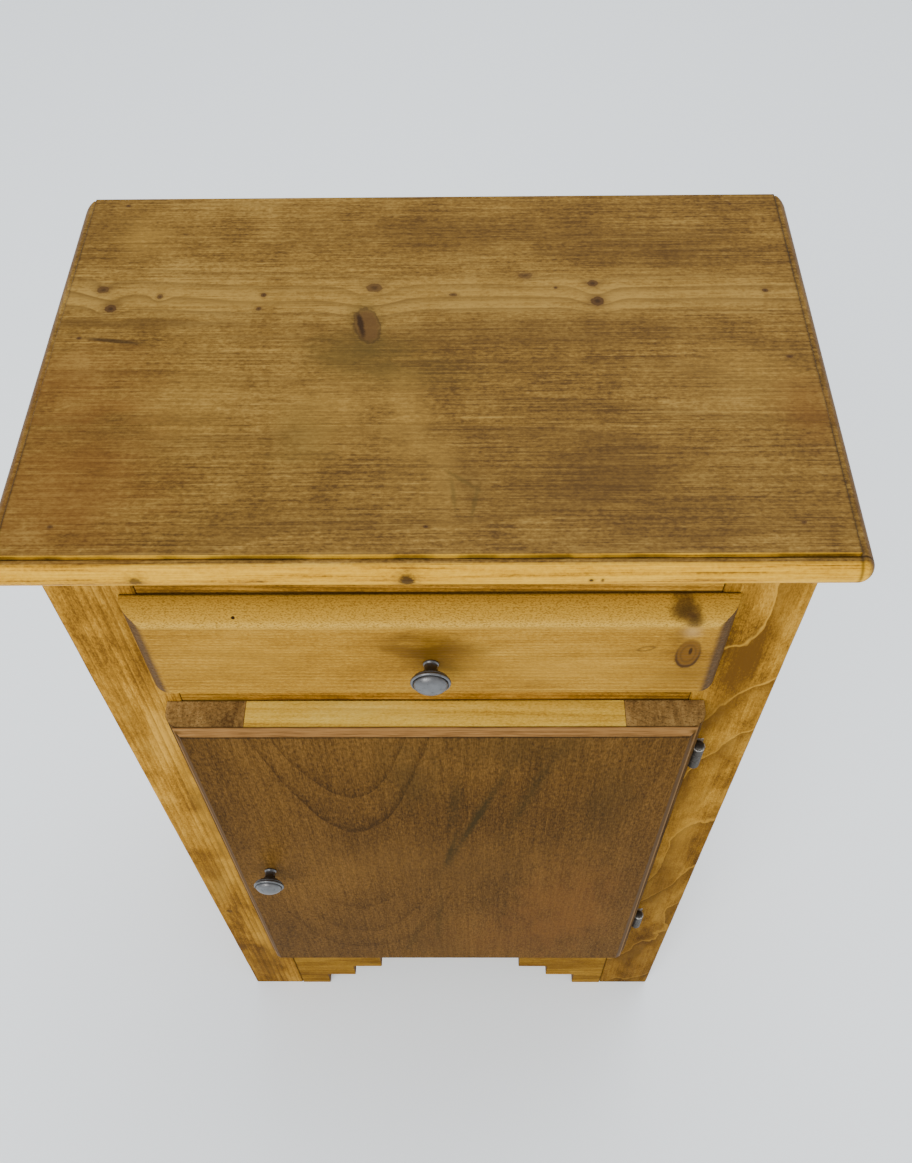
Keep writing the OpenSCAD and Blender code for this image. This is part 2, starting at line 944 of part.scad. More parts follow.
module drawer_front() {
    h = front_top - front_bottom;
    color(golden)
        difference() {
            intersection() {
                translate([0, shut_y, front_bottom])
                    linear_extrude(height = h)
                        rounded_bar(lap_x, front_t, front_rounding, true);
                translate([-lap_x - cut, shut_y, (front_top + front_bottom) / 2])
                    rotate([0, -90, 0])
                        mirror([0, 0, 1])
                            linear_extrude(height = 2 * (lap_x + cut))
                                rounded_bar(h / 2, front_t, front_rounding, false);
            }
            front_screw_set(true);
            knob_screw_at(0, shut_y + box_t, drawer_knob_z, box_t + front_t, true);
        }
}

// grooves for the drawer bottom, cut out of all four box boards
module drawer_bottom_groove() {
    z = box_z + groove_h;
    block([-box_inner_x - groove_d, shut_y + box_t - groove_d, z],
        [box_inner_x + groove_d, box_back_y - box_t + groove_d, z + bottom_t + groove_play]);
}

module drawer_box_front() {
    color(pale)
        difference() {
            block([-box_inner_x, shut_y, box_z], [box_inner_x, shut_y + box_t, box_z + box_h]);
            drawer_bottom_groove();
            drawer_nail_set(true);
            front_screw_set(true);
            knob_screw_at(0, shut_y + box_t, drawer_knob_z, box_t + front_t, true);
        }
}

module drawer_back() {
    color(pale)
        difference() {
            block([-box_inner_x, box_back_y - box_t, box_z], [box_inner_x, box_back_y, box_z + box_h]);
            drawer_bottom_groove();
            drawer_nail_set(true);
        }
}

module drawer_side(side) {
    color(pale)
        difference() {
            side_strip(side, box_inner_x, box_x, shut_y, box_back_y, box_z, box_h);
            drawer_bottom_groove();
            drawer_nail_set(true);
        }
}

module left_drawer_side() {
    drawer_side(-1);
}

module right_drawer_side() {
    drawer_side(1);
}

module drawer_bottom() {
    reach = groove_d - groove_play;
    z = box_z + groove_h;
    color(straw)
        block([-box_inner_x - reach, shut_y + box_t - reach, z],
            [box_inner_x + reach, box_back_y - box_t + reach, z + bottom_t]);
}

module drawer_nails() {
    color(zinc) drawer_nail_set(false);
}

module drawer_front_screws() {
    color(zinc) front_screw_set(false);
}

// ---- knobs ----

// a turned knob standing out along -Y from the point given
module knob(x, y, z) {
    dome_r = (pow(knob_d / 2, 2) + pow(knob_dome, 2)) / (2 * knob_dome);
    rim_z = knob_len - knob_dome;
    color(pewter)
        translate([x, y, z])
            rotate([90, 0, 0])
                difference() {
                    union() {
                        cylinder(h = knob_foot_t, d = knob_foot_d);
                        translate([0, 0, knob_foot_t])
                            cylinder(h = knob_foot_t, d1 = knob_foot_d - knob_foot_step, d2 = knob_stem_d);
                        cylinder(h = rim_z, d = knob_stem_d);
                        translate([0, 0, rim_z - knob_rim_t - knob_flare])
                            cylinder(h = knob_flare, d1 = knob_stem_d, d2 = knob_d - knob_disc_step);
                        translate([0, 0, rim_z - knob_rim_t]) cylinder(h = knob_rim_t, d = knob_d);
                        translate([0, 0, rim_z])
                            intersection() {
                                translate([0, 0, knob_dome - dome_r]) sphere(r = dome_r, $fn = 96);
                                cylinder(h = knob_dome, d = knob_d);
                            }
                    }
                    translate([0, 0, -cut]) cylinder(h = knob_bore + cut, r = screw_d / 2 + fixing_play);
                }
}

module drawer_knob() {
    knob(0, shut_y - front_t, drawer_knob_z);
}

module drawer_knob_screw() {
    color(zinc) knob_screw_at(0, shut_y + box_t, drawer_knob_z, box_t + front_t, false);
}

module door_knob() {
    knob(door_knob_x, skin_y, door_knob_z);
}

module door_knob_screw() {
    color(zinc) knob_screw_at(door_knob_x, shut_y, door_knob_z, door_t + skin_t, false);
}

// ---- door ----

// the frame's whole outline, with the two outer edges rounded
module door_blank() {
    translate([0, shut_y, door_bottom])
        linear_extrude(height = door_top - door_bottom)
            rounded_bar(lap_x, door_t, door_rounding, true);
}

module door_tenons(play) {
    mid_y = shut_y - door_t / 2;
    edge = tenon_shoulder - play;
    for (side = [-1, 1], z = [door_bottom, door_top - stile_w])
        side_strip(side, stile_x - cut, stile_x + tenon_len + play, mid_y - tenon_t / 2 - play,
            mid_y + tenon_t / 2 + play, z + edge, stile_w - 2 * edge);
}

module door_stile(side) {
    color(umber)
        difference() {
            intersection() {
                door_blank();
                side_strip(side, stile_x, lap_x + cut, skin_y - cut, face_y + cut, 0, total_h);
            }
            door_tenons(tenon_play);
            if (side > 0) {
                for (mid = [upper_hinge_z, lower_hinge_z]) door_leaf_recess(mid);
                door_leaf_screw_set(true);
            } else {
                knob_screw_at(door_knob_x, shut_y, door_knob_z, door_t + skin_t, true);
                strike_screw_set(true);
            }
        }
}

module left_door_stile() {
    door_stile(-1);
}

module right_door_stile() {
    door_stile(1);
}

module door_rail(z) {
    color(straw) {
        block([-stile_x, door_front_y, z], [stile_x, shut_y, z + stile_w]);
        intersection() {
            door_tenons(0);
            block([-lap_x, door_front_y, z], [lap_x, shut_y, z + stile_w]);
        }
    }
}

module door_top_rail() {
    door_rail(door_top - stile_w);
}

module door_bottom_rail() {
    door_rail(door_bottom);
}

// the skin's bevelled section, for either direction
module bevelled_bar(half) {
    lip = min(skin_lip, skin_t / 2);
    polygon([[-half, 0], [half, 0], [half, -lip], [half - skin_bevel, -skin_t],
        [skin_bevel - half, -skin_t], [-half, -lip]]);
}

module door_skin() {
    h = door_top - door_bottom;
    color(umber)
        difference() {
            intersection() {
                translate([0, door_front_y, door_bottom])
                    linear_extrude(height = h)
                        bevelled_bar(skin_x);
                translate([-skin_x - cut, door_front_y, (door_top + door_bottom) / 2])
                    rotate([0, -90, 0])
                        mirror([0, 0, 1])
                            linear_extrude(height = 2 * (skin_x + cut))
                                bevelled_bar(h / 2);
            }
            knob_screw_at(door_knob_x, shut_y, door_knob_z, door_t + skin_t, true);
        }
}

// ---- placing ----

top_board_front();
top_board_middle();
top_board_back();
left_post();
right_post();
top_rail();
middle_rail();
stepped_apron();
left_side_board();
right_side_board();
back_panel();
back_top_rail();
back_low_rail();
cupboard_floor();
shelf();
left_floor_cleat();
right_floor_cleat();
left_shelf_cleat();
right_shelf_cleat();
left_top_cleat();
right_top_cleat();
left_runner();
right_runner();
left_guide();
right_guide();
left_kicker();
right_kicker();
frame_dowels();
top_screws();
cleat_screws();
runner_screws();
back_nails();
upper_hinge_post_leaf();
lower_hinge_post_leaf();
upper_hinge_pin();
lower_hinge_pin();
post_leaf_screws();
door_catch();
catch_screws();
drawer_front();
drawer_box_front();
left_drawer_side();
right_drawer_side();
drawer_back();
drawer_bottom();
drawer_nails();
drawer_front_screws();
drawer_knob();
drawer_knob_screw();
left_door_stile();
right_door_stile();
door_top_rail();
door_bottom_rail();
door_skin();
door_knob();
door_knob_screw();
upper_hinge_door_leaf();
lower_hinge_door_leaf();
door_leaf_screws();
strike_plate();
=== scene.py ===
"""Looks of a pine bedside cabinet: waxed brown top, golden front frame, skinned door, pewter knobs."""
import json
import math

import bmesh
import bpy
from mathutils import Matrix, Vector, noise


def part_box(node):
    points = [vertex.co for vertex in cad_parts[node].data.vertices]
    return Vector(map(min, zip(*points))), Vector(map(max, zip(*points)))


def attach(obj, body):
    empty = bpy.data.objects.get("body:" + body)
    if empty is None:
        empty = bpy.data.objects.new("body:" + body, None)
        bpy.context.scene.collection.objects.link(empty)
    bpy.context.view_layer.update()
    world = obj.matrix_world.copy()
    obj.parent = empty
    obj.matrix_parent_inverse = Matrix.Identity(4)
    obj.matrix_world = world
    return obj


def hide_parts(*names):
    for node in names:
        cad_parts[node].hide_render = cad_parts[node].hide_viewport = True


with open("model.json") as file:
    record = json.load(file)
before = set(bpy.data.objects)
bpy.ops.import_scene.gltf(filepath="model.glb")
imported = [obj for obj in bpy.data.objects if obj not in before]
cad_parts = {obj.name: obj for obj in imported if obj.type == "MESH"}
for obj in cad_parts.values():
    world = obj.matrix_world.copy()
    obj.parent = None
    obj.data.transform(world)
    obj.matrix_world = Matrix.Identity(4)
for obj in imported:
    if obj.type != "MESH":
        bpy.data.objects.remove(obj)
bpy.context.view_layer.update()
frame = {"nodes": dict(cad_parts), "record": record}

MM = 0.001
BODY_OF = {node: body for body, nodes in frame["record"]["behaviour"]["bodies"].items() for node in nodes}
FACE_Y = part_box("left_post")[0].y


# ---------------------------------------------------------------- camera, light, floor

CAMERA_AT = (0.0247, FACE_Y - 0.3751, 1.3477)
CAMERA_PITCH = math.radians(55.07)
CAMERA_YAW = math.radians(-1.31)
CAMERA_ROLL = math.radians(1.29)
CAMERA_LENS = 35.29


def make_camera():
    """A camera looking steeply down at the front, turned by yaw, pitch and roll in that order."""
    sin_y, cos_y = math.sin(CAMERA_YAW), math.cos(CAMERA_YAW)
    sin_p, cos_p = math.sin(CAMERA_PITCH), math.cos(CAMERA_PITCH)
    forward = Vector((sin_y * cos_p, cos_y * cos_p, -sin_p))
    level_right = Vector((cos_y, -sin_y, 0.0))
    level_down = forward.cross(level_right)
    right = math.cos(CAMERA_ROLL) * level_right + math.sin(CAMERA_ROLL) * level_down
    down = -math.sin(CAMERA_ROLL) * level_right + math.cos(CAMERA_ROLL) * level_down
    turn = Matrix((right, -down, -forward)).transposed().to_4x4()
    data = bpy.data.cameras.new("camera")
    data.lens = CAMERA_LENS
    data.sensor_width = 36.0
    data.clip_start = 0.02
    camera = bpy.data.objects.new("camera", data)
    camera.matrix_world = Matrix.Translation(CAMERA_AT) @ turn
    bpy.context.scene.collection.objects.link(camera)
    bpy.context.scene.camera = camera


def area_light(name, at, towards, size, power, colour):
    data = bpy.data.lights.new(name, "AREA")
    data.shape = "DISK"
    data.size = size
    data.energy = power
    data.color = colour
    light = bpy.data.objects.new(name, data)
    light.location = at
    light.rotation_euler = (Vector(towards) - Vector(at)).to_track_quat("-Z", "Y").to_euler()
    bpy.context.scene.collection.objects.link(light)


def make_lights():
    world = bpy.data.worlds.new("studio")
    world.use_nodes = True
    background = world.node_tree.nodes["Background"]
    background.inputs["Color"].default_value = (0.93, 0.96, 1.0, 1.0)
    background.inputs["Strength"].default_value = 0.88
    bpy.context.scene.world = world
    area_light("window", (-1.5, -2.6, 2.6), (0.0, -0.1, 0.55), 2.2, 80.0, (1.0, 0.98, 0.95))
    area_light("ceiling", (0.4, 0.9, 3.0), (0.0, 0.0, 0.8), 2.0, 46.0, (0.95, 0.98, 1.0))
    area_light("front_fill", (1.5, -2.4, 1.0), (0.0, -0.1, 0.4), 1.8, 7.0, (1.0, 0.99, 0.97))


def make_floor():
    """A plain pale floor, large enough to fill every view."""
    bm = bmesh.new()
    bmesh.ops.create_grid(bm, x_segments=1, y_segments=1, size=14.0)
    mesh = bpy.data.meshes.new("studio_floor")
    bm.to_mesh(mesh)
    bm.free()
    floor = bpy.data.objects.new("studio_floor", mesh)
    bpy.context.scene.collection.objects.link(floor)
    glow = {"Emission Color": (0.90, 0.96, 1.0, 1.0), "Emission Strength": 0.34}
    mesh.materials.append(Finish("pale_floor").surface((0.86, 0.90, 0.93), 0.8, constants=glow))


# ---------------------------------------------------------------- material maths


def maths_method(operation, swapped=False):
    """A method that adds one Math node; swapped puts the other value first."""
    def method(self, *others):
        return self.maths(operation, *((*others, self) if swapped else (self, *others)))
    return method


def add_node(tree, kind, settings=None, sockets=None):
    """Adds a node: its settings first, then values or links of its sockets by name or number."""
    made = tree.nodes.new(kind)
    for key, value in (settings or {}).items():
        setattr(made, key, value)
    for key, value in (sockets or {}).items():
        if isinstance(value, bpy.types.NodeSocket):
            tree.links.new(value, made.inputs[key])
        else:
            made.inputs[key].default_value = value
    return made


class Wire:
    """An output socket in a material. Sums, products and powers of it add Math nodes."""

    def __init__(self, finish, socket):
        self.finish = finish
        self.socket = socket

    def maths(self, operation, *values, clamp=False):
        sockets = dict(enumerate(values))
        return self.finish.node("ShaderNodeMath", {"operation": operation, "use_clamp": clamp}, sockets)

    __add__ = __radd__ = maths_method("ADD")
    __sub__, __rsub__ = maths_method("SUBTRACT"), maths_method("SUBTRACT", swapped=True)
    __mul__ = __rmul__ = maths_method("MULTIPLY")
    __truediv__, __pow__ = maths_method("DIVIDE"), maths_method("POWER")
    root, size = maths_method("SQRT"), maths_method("ABSOLUTE")
    # part is what is left after whole units are taken away
    part, whole = maths_method("FRACT"), maths_method("FLOOR")

    def bell(self):
        """1 where self is 0, falling off smoothly on both sides."""
        return self.maths("POWER", math.exp(-1.0), self * self)

    def line(self, at, width):
        """1 where self has the value at, falling off over a width on both sides."""
        return ((self - at) / width).bell()

    def held(self):
        """Kept between 0 and 1."""
        return self.maths("ADD", self, 0.0, clamp=True)

    def step(self, low, high, start=0.0, end=1.0):
        """start below low, end above high, smooth between."""
        sockets = {"Value": self, "From Min": low, "From Max": high, "To Min": start, "To Max": end}
        return self.finish.node("ShaderNodeMapRange", {"interpolation_type": "SMOOTHSTEP"}, sockets)

    def fade(self, low, high, strength=1.0):
        """The given strength below low, nothing above high."""
        return self.step(low, high, strength, 0.0)


class Finish:
    """One material: its tree, its piece's coordinates and its principled shader."""

    def __init__(self, name):
        self.material = bpy.data.materials.new(name)
        self.material.use_nodes = True
        self.tree = self.material.node_tree
        self.tree.nodes.clear()
        self.shader = self.tree.nodes.new("ShaderNodeBsdfPrincipled")
        output = self.tree.nodes.new("ShaderNodeOutputMaterial")
        self.tree.links.new(self.shader.outputs[0], output.inputs[0])

    def node(self, kind, settings=None, sockets=None, out=0):
        """Adds a node and gives the wire from one of its outputs."""
        plain = {key: value.socket if isinstance(value, Wire) else value
                 for key, value in (sockets or {}).items()}
        return Wire(self, add_node(self.tree, kind, settings, plain).outputs[out])

    def object_point(self):
        return self.node("ShaderNodeTexCoord", out="Object")

    def facing(self):
        """The outward direction of the surface in the object's own axes."""
        return self.split(self.node("ShaderNodeTexCoord", out="Normal"))

    def split(self, vector):
        node = self.tree.nodes.new("ShaderNodeSeparateXYZ")
        self.tree.links.new(vector.socket, node.inputs[0])
        return [Wire(self, socket) for socket in node.outputs]

    def join(self, x, y, z):
        return self.node("ShaderNodeCombineXYZ", None, {0: x, 1: y, 2: z})

    def noise(self, vector, scale, detail=3.0, roughness=0.5, distortion=0.0):
        """Smooth noise, about 0 to 1."""
        names = ("Vector", "Scale", "Detail", "Roughness", "Distortion")
        sockets = dict(zip(names, (vector, scale, detail, roughness, distortion)))
        return self.node("ShaderNodeTexNoise", {"noise_dimensions": "3D"}, sockets)

    def ramp(self, factor, places, colours):
        """The colour at each place, and between them a blend."""
        made = add_node(self.tree, "ShaderNodeValToRGB", None, {"Fac": factor.socket})
        elements = made.color_ramp.elements
        while len(elements) < len(places):
            elements.new(1.0)
        for element, place, colour in zip(elements, places, colours):
            element.position = place
            element.color = (*colour, 1.0)
        return Wire(self, made.outputs[0])

    def mix(self, factor, first, second, blend="MIX"):
        """Two colours mixed; a colour may be a link or three numbers."""
        sockets = {0: factor, 6: self.solid(first), 7: self.solid(second)}
        settings = {"data_type": "RGBA", "blend_type": blend, "clamp_factor": True}
        return self.node("ShaderNodeMix", settings, sockets, out=2)

    @staticmethod
    def solid(colour):
        return colour if isinstance(colour, Wire) else (*colour, 1.0)

    def surface(self, colour, roughness, height=None, depth=0.0005, constants=None):
        """Feeds the shader: links for what varies, plain values for what does not."""
        for key, value in {"Base Color": colour, "Roughness": roughness}.items():
            if isinstance(value, Wire):
                self.tree.links.new(value.socket, self.shader.inputs[key])
            elif key == "Base Color":
                self.shader.inputs[key].default_value = (*value, 1.0)
            else:
                self.shader.inputs[key].default_value = value
        if height is not None:
            bump = self.node("ShaderNodeBump", None, {"Strength": 1.0, "Distance": depth, "Height": height})
            self.tree.links.new(bump.socket, self.shader.inputs["Normal"])
        for key, value in (constants or {}).items():
            self.shader.inputs[key].default_value = value
        return self.material


# ---------------------------------------------------------------- wood

AXES = {"x": 0, "y": 1, "z": 2}


class Timber(Finish):
    """Sawn wood. u runs along the grain, v across the face, w into the board, in metres."""

    def __init__(self, name, grain, across, seed=0.0):
        super().__init__(name)
        self.seed = seed
        self.grain, self.across = AXES[grain], AXES[across]
        self.place = self.object_point()
        self.grown = self.place
        self.point = self.split(self.place)
        self.u = self.point[self.grain]
        self.v = self.point[self.across]
        self.w = self.point[3 - self.grain - self.across]
        self.normal = self.facing()
        self.end_facing = self.normal[self.grain].size()

    def ordered(self, along, across, into):
        """Three values for u, v and w put in the order of X, Y and Z."""
        values = [into, into, into]
        values[self.grain], values[self.across] = along, across
        return values

    def stretched(self, along, across, shift=0.0):
        """Coordinates scaled per axis, so that noise on them is drawn out along the grain."""
        offset = self.seed + shift
        sockets = {0: self.grown, 1: self.ordered(along, across, across), 2: (offset, -offset, offset)}
        return self.node("ShaderNodeVectorMath", {"operation": "MULTIPLY_ADD"}, sockets)

    def drawn(self, along, across, shift=0.0, detail=3.0, roughness=0.5, distortion=0.0):
        """Noise drawn out along the grain, about 0 to 1."""
        return self.noise(self.stretched(along, across, shift), 1.0, detail, roughness, distortion)

    def reach(self, u, v, long, wide, lean=0.0):
        """Distance from a place on the face, in units of the given half-lengths; lean is in radians."""
        turned_by = lean if (self.across - self.grain) % 3 == 1 else -lean
        sockets = {
            "Vector": self.place,
            "Location": self.ordered(u, v, 0.0),
            "Rotation": self.ordered(0.0, 0.0, turned_by),
            "Scale": self.ordered(long, wide, 1000.0),
        }
        local = self.node("ShaderNodeMapping", {"vector_type": "TEXTURE"}, sockets)
        return self.node("ShaderNodeVectorMath", {"operation": "LENGTH"}, {0: local}, out=1)

    def rings(self, pith_v, pith_w, spacing, wave=0.004, tilt=0.0, fine=0.0006, knots=()):
        """Growth rings round a pith line: 0 in early wood, rising to 1 in a thin late line."""
        slow = self.drawn(2.2, 9.0, 0.0, 2.0) - 0.5
        quick = self.drawn(9.0, 90.0, 3.0, 2.0) - 0.5
        dv = self.v - pith_v
        dw = self.w - pith_w + self.u * tilt
        radius = (dv * dv + dw * dw).root() + slow * wave + quick * fine
        for u, v, long, wide, push in knots:
            radius = radius + self.reach(u, v, long, wide).bell() * push
        turn = radius / spacing
        saw = turn.part()
        each = self.noise(self.join(turn.whole() * 0.37 + self.seed, 0.5, 0.5), 1.0, 0.0)
        late = saw ** 2.4 * (1.0 - saw.step(0.86, 1.0))
        return late * 1.9 * (each * 1.5 + 0.1)

    def fibres(self, length=30.0, width=900.0, shift=7.0):
        """Fine streaks along the grain, about -0.5 to 0.5."""
        return self.drawn(length, width, shift, 3.0, 0.62) - 0.5

    def blotches(self, along, across, shift=11.0, detail=3.0):
        return self.drawn(along, across, shift, detail, 0.55, 0.3)

    def flecks(self, along=180.0, across=1500.0, shift=19.0):
        """Short dark pores."""
        return self.drawn(along, across, shift, 1.0, 0.4).step(0.60, 0.74)

    def mottle(self, scale=420.0, shift=23.0):
        return self.drawn(scale, scale * 1.6, shift, 2.0, 0.7) - 0.5

    def paint(self, amount, tint, blend="MIX"):
        """Lays a colour over what is there, as strongly as the amount says."""
        self.colour = self.mix(amount, self.colour, tint, blend)

    def add_knots(self, knots):
        """Knots at (u, v, half length, half width, depth): soft halo, dark ring, brown middle, dark heart."""
        ragged = self.drawn(260.0, 420.0, 31.0, 2.0) - 0.5
        for u, v, long, wide, depth in knots:
            away = self.reach(u, v, long, wide) + ragged * 0.6
            self.paint(away.fade(0.6, 2.2, 0.45 * depth), KNOT_RIM)
            self.paint(away.fade(0.80, 1.05, depth), KNOT_RIM)
            self.paint(away.fade(0.55, 0.85, 0.16 * depth), shade(KNOT_RIM, 2.4))
            self.paint(away.fade(0.10, 0.70, 0.70 * depth), KNOT_CORE)

    def add_patches(self, patches):
        """Soft stains of a colour at (u, v, half length, half width, strength, colour)."""
        ragged = self.drawn(38.0, 90.0, 41.0, 4.0, 0.6) - 0.5
        for u, v, long, wide, strength, tint in patches:
            away = self.reach(u, v, long, wide) + ragged * 2.2
            self.paint(away.fade(0.0, 1.7, strength), tint)


def shade(colour, amount):
    """A colour made lighter or darker by a factor."""
    return tuple(min(1.0, channel * amount) for channel in colour)


# each wood is a dark, a middle and a light tone
OLIVE = ((0.078, 0.039, 0.0095), (0.176, 0.094, 0.0190), (0.300, 0.178, 0.0420))
AMBER = ((0.210, 0.098, 0.0170), (0.520, 0.275, 0.0370), (0.760, 0.450, 0.0750))
GOLD = ((0.130, 0.058, 0.0085), (0.345, 0.165, 0.0160), (0.560, 0.300, 0.0400))
HONEY = ((0.190, 0.088, 0.0105), (0.365, 0.182, 0.0190), (0.540, 0.305, 0.0420))
STRAW = ((0.380, 0.200, 0.0290), (0.680, 0.435, 0.0800), (0.860, 0.620, 0.1700))
UMBER = ((0.040, 0.019, 0.0045), (0.098, 0.046, 0.0092), (0.180, 0.090, 0.0200))
NOSE_GOLD = ((0.220, 0.095, 0.0070), (0.590, 0.290, 0.0140), (0.820, 0.455, 0.0280))
RAIL_GOLD = ((0.460, 0.250, 0.0280), (0.790, 0.510, 0.0680), (0.930, 0.690, 0.1400))
TAN = ((0.130, 0.062, 0.0180), (0.270, 0.132, 0.0400), (0.380, 0.205, 0.0700))
BARE = ((0.360, 0.215, 0.0620), (0.540, 0.365, 0.1300), (0.680, 0.500, 0.2200))
KNOT_CORE = (0.026, 0.013, 0.006)
KNOT_RIM = (0.068, 0.033, 0.011)
END_GRAIN = (0.120, 0.062, 0.024)
STILE_END = ((0.118, 0.063, 0.022), (0.285, 0.168, 0.052), (0.440, 0.280, 0.095))
# dark colour of joint lines, also used as painted shade in the gaps round the drawer and door
DARK_LINE_AND_GAP_SHADE = (0.016, 0.009, 0.004)
# multiplied in to darken the posts towards the foot
FOOT_DARKENING_TINT = (0.44, 0.41, 0.42)
# where on a ramp the dark, middle and light tone stand
TONES_AT = (0.12, 0.46, 0.84)


def in_metres(rows, v_from=0.0):
    """Rows of (u, v, half length, half width, ...) in mm put in metres; v is measured from v_from."""
    return [(u * MM, v_from + v * MM, long * MM, wide * MM, *rest) for u, v, long, wide, *rest in rows]


class Pine(Timber):
    """A lacquered or bare pine board with rings, fibres, blotches and pores."""

    def __init__(self, name, grain, across, tones, seed, pith=(0.0, -0.12), spacing=0.0045, tilt=0.02,
                 contrast=0.5, cloud=1.0, figure=0.0, knots=()):
        super().__init__(name, grain, across, seed)
        self.tones = tones
        bends = [(u, v, long * 2.6, wide * 2.6, spacing * 0.9) for u, v, long, wide, _ in knots]
        rings = self.rings(pith[0], pith[1], spacing, tilt=tilt, knots=bends)
        self.fibre = self.fibres()
        thread = self.fibres(9.0, 380.0, shift=71.0)
        soft = self.blotches(7.0, 22.0) - 0.5
        smudge = self.blotches(26.0, 60.0, shift=81.0, detail=4.0) - 0.5
        grit = self.mottle()
        speck = self.drawn(480.0, 1150.0, 13.0, 3.0, 0.7) - 0.5
        tone = soft * cloud + smudge * (0.80 * cloud) + self.fibre * 0.50 + thread * 0.50 + grit * 0.45
        tone = tone + speck * 0.95 - rings * (contrast * 0.3) + 0.48
        self.colour = self.ramp(tone.held(), TONES_AT, tones)
        self.paint(rings * contrast, tones[0])
        if figure:
            self.add_figure(figure)
        self.paint(self.flecks() * 0.38, tones[0])
        self.height = self.fibre * 0.55 - rings * 0.35 + grit * 0.3
        self.knots = knots

    def add_figure(self, strength, shift=57.0, rate=7.5, slope=-17.0):
        """Flat-sawn bands that cross the board in long waves, each ending in a crisp light line."""
        swell = self.drawn(6.0, 14.0, shift, 1.0, 0.4) * 2.0
        ripple = self.drawn(30.0, 62.0, shift, 2.0, 0.5) * 0.40
        saw = (self.u * rate + self.v * slope + swell + ripple).part()
        self.paint((saw ** 4.0) * strength, self.tones[0])
        line = saw.line(0.022, 0.020)
        self.paint(line * (1.25 * strength), self.tones[2])

    def darker_towards_foot(self, low, high, amount):
        """Darker towards the foot."""
        self.paint(self.u.fade(low, high, amount), FOOT_DARKENING_TINT, "MULTIPLY")

    def end_grain(self, tint=END_GRAIN, low=0.55, high=0.8):
        rough = self.drawn(60.0, 900.0, 3.0, 3.0)
        end = self.ramp(rough, (0.25, 0.75), (shade(tint, 0.60), shade(tint, 1.5)))
        self.paint(self.end_facing.step(low, high), end)

    def seam(self, coordinate, at, width, strength):
        """A dark line where another piece meets this one: the joint's own dark line between joined boards,
        and painted shade where the line runs along a gap beside the drawer or door.
        """
        self.paint(coordinate.line(at, width) * strength, DARK_LINE_AND_GAP_SHADE)

    def done(self, polish=0.40, gloss=0.003):
        self.add_knots(self.knots)
        rough = (self.blotches(40.0, 90.0, shift=51.0) - 0.5) * 0.22 + self.fibre * 0.14 + polish
        return self.surface(self.colour, rough, self.height, 0.0002, {"Specular IOR Level": gloss})


# ---------------------------------------------------------------- mesh helpers


def piece_from(bm, name, body, material, replaces=(), smooth=35.0, weighted=True):
    """Turns a bmesh into a finished object that rides on its body and stands for its CAD nodes."""
    mesh = bpy.data.meshes.new(name)
    bm.to_mesh(mesh)
    bm.free()
    mesh.shade_smooth()
    mesh.set_sharp_from_angle(angle=math.radians(smooth))
    mesh.materials.append(material)
    piece = bpy.data.objects.new(name, mesh)
    bpy.context.scene.collection.objects.link(piece)
    if weighted:
        modifier = piece.modifiers.new("flat_faces_stay_flat", "WEIGHTED_NORMAL")
        modifier.keep_sharp = True
    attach(piece, body)
    if replaces:
        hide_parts(*replaces)
    return piece


def worn_inwards(bm, low, high, wear, seed, scale=45.0):
    """Moves the vertices near an edge a little towards the middle, more in some places than others."""
    middle = (low + high) / 2
    half = (high - low) / 2
    for vert in bm.verts:
        away = vert.co - middle
        near = sum(1 for k in range(3) if half[k] - abs(away[k]) < 0.003)
        if near < 2:
            continue
        amount = 0.5 + 0.5 * noise.noise(vert.co * scale + Vector((seed, seed, seed)))
        for k in range(3):
            if half[k] - abs(away[k]) < 0.003:
                vert.co[k] -= math.copysign(wear * amount, away[k])


def slice_along(bm, axis, low, high, cell):
    """Cuts a long block across every cell, so that its edges can wander."""
    count = int((high[axis] - low[axis]) / cell)
    direction = Vector([1.0 if k == axis else 0.0 for k in range(3)])
    for i in range(1, count):
        at = low + (high - low) * (i / count)
        geometry = bm.verts[:] + bm.edges[:] + bm.faces[:]
        bmesh.ops.bisect_plane(bm, geom=geometry, plane_co=at, plane_no=direction)


def block_mesh(low, high):
    bm = bmesh.new()
    bmesh.ops.create_cube(bm, size=1.0)
    for vert in bm.verts:
        for k in range(3):
            vert.co[k] = high[k] if vert.co[k] > 0 else low[k]
    return bm


def board(node, material, ease=0.0012, wear=0.0003, cell=0.02, seed=0.0, inset=0.0):
    """Stands for a plain CAD board: the same box with eased, slightly worn edges."""
    low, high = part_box(node)
    low, high = low + Vector((inset,) * 3), high - Vector((inset,) * 3)
    bm = block_mesh(low, high)
    round_edges(bm, bm.edges[:], ease, 3)
    size = high - low
    axis = max(range(3), key=lambda k: size[k])
    slice_along(bm, axis, low, high, cell)
    worn_inwards(bm, low, high, wear, seed)
    return piece_from(bm, node + "_board", BODY_OF[node], material, [node])


def round_edges(bm, edges, radius, segments):
    bmesh.ops.bevel(bm, geom=edges, offset=radius, segments=segments, profile=0.5, affect="EDGES")


def ring_of(bm, points):
    return [bm.verts.new(point) for point in points]


def bridge(bm, first, second, closed=True):
    """Joins two rings of the same length with quads."""
    count = len(first)
    for i in range(count if closed else count - 1):
        j = (i + 1) % count
        bm.faces.new((first[i], first[j], second[j], second[i]))


def tidy_normals(bm):
    bmesh.ops.remove_doubles(bm, verts=bm.verts[:], dist=1e-6)
    bmesh.ops.recalc_face_normals(bm, faces=bm.faces[:])


def lofted(outlines):
    """A closed shell through outlines that have the same number of points."""
    bm = bmesh.new()
    rings = [ring_of(bm, points) for points in outlines]
    for first, second in zip(rings, rings[1:]):
        bridge(bm, first, second)
    bm.faces.new(rings[0])
    bm.faces.new(rings[-1])
    tidy_normals(bm)
    return bm


def arc(centre, radius, start, stop, steps):
    """Points of an arc in a plane, angles in degrees."""
    turns = [math.radians(start + (stop - start) * i / steps) for i in range(steps + 1)]
    return [(centre[0] + radius * math.cos(t), centre[1] + radius * math.sin(t)) for t in turns]


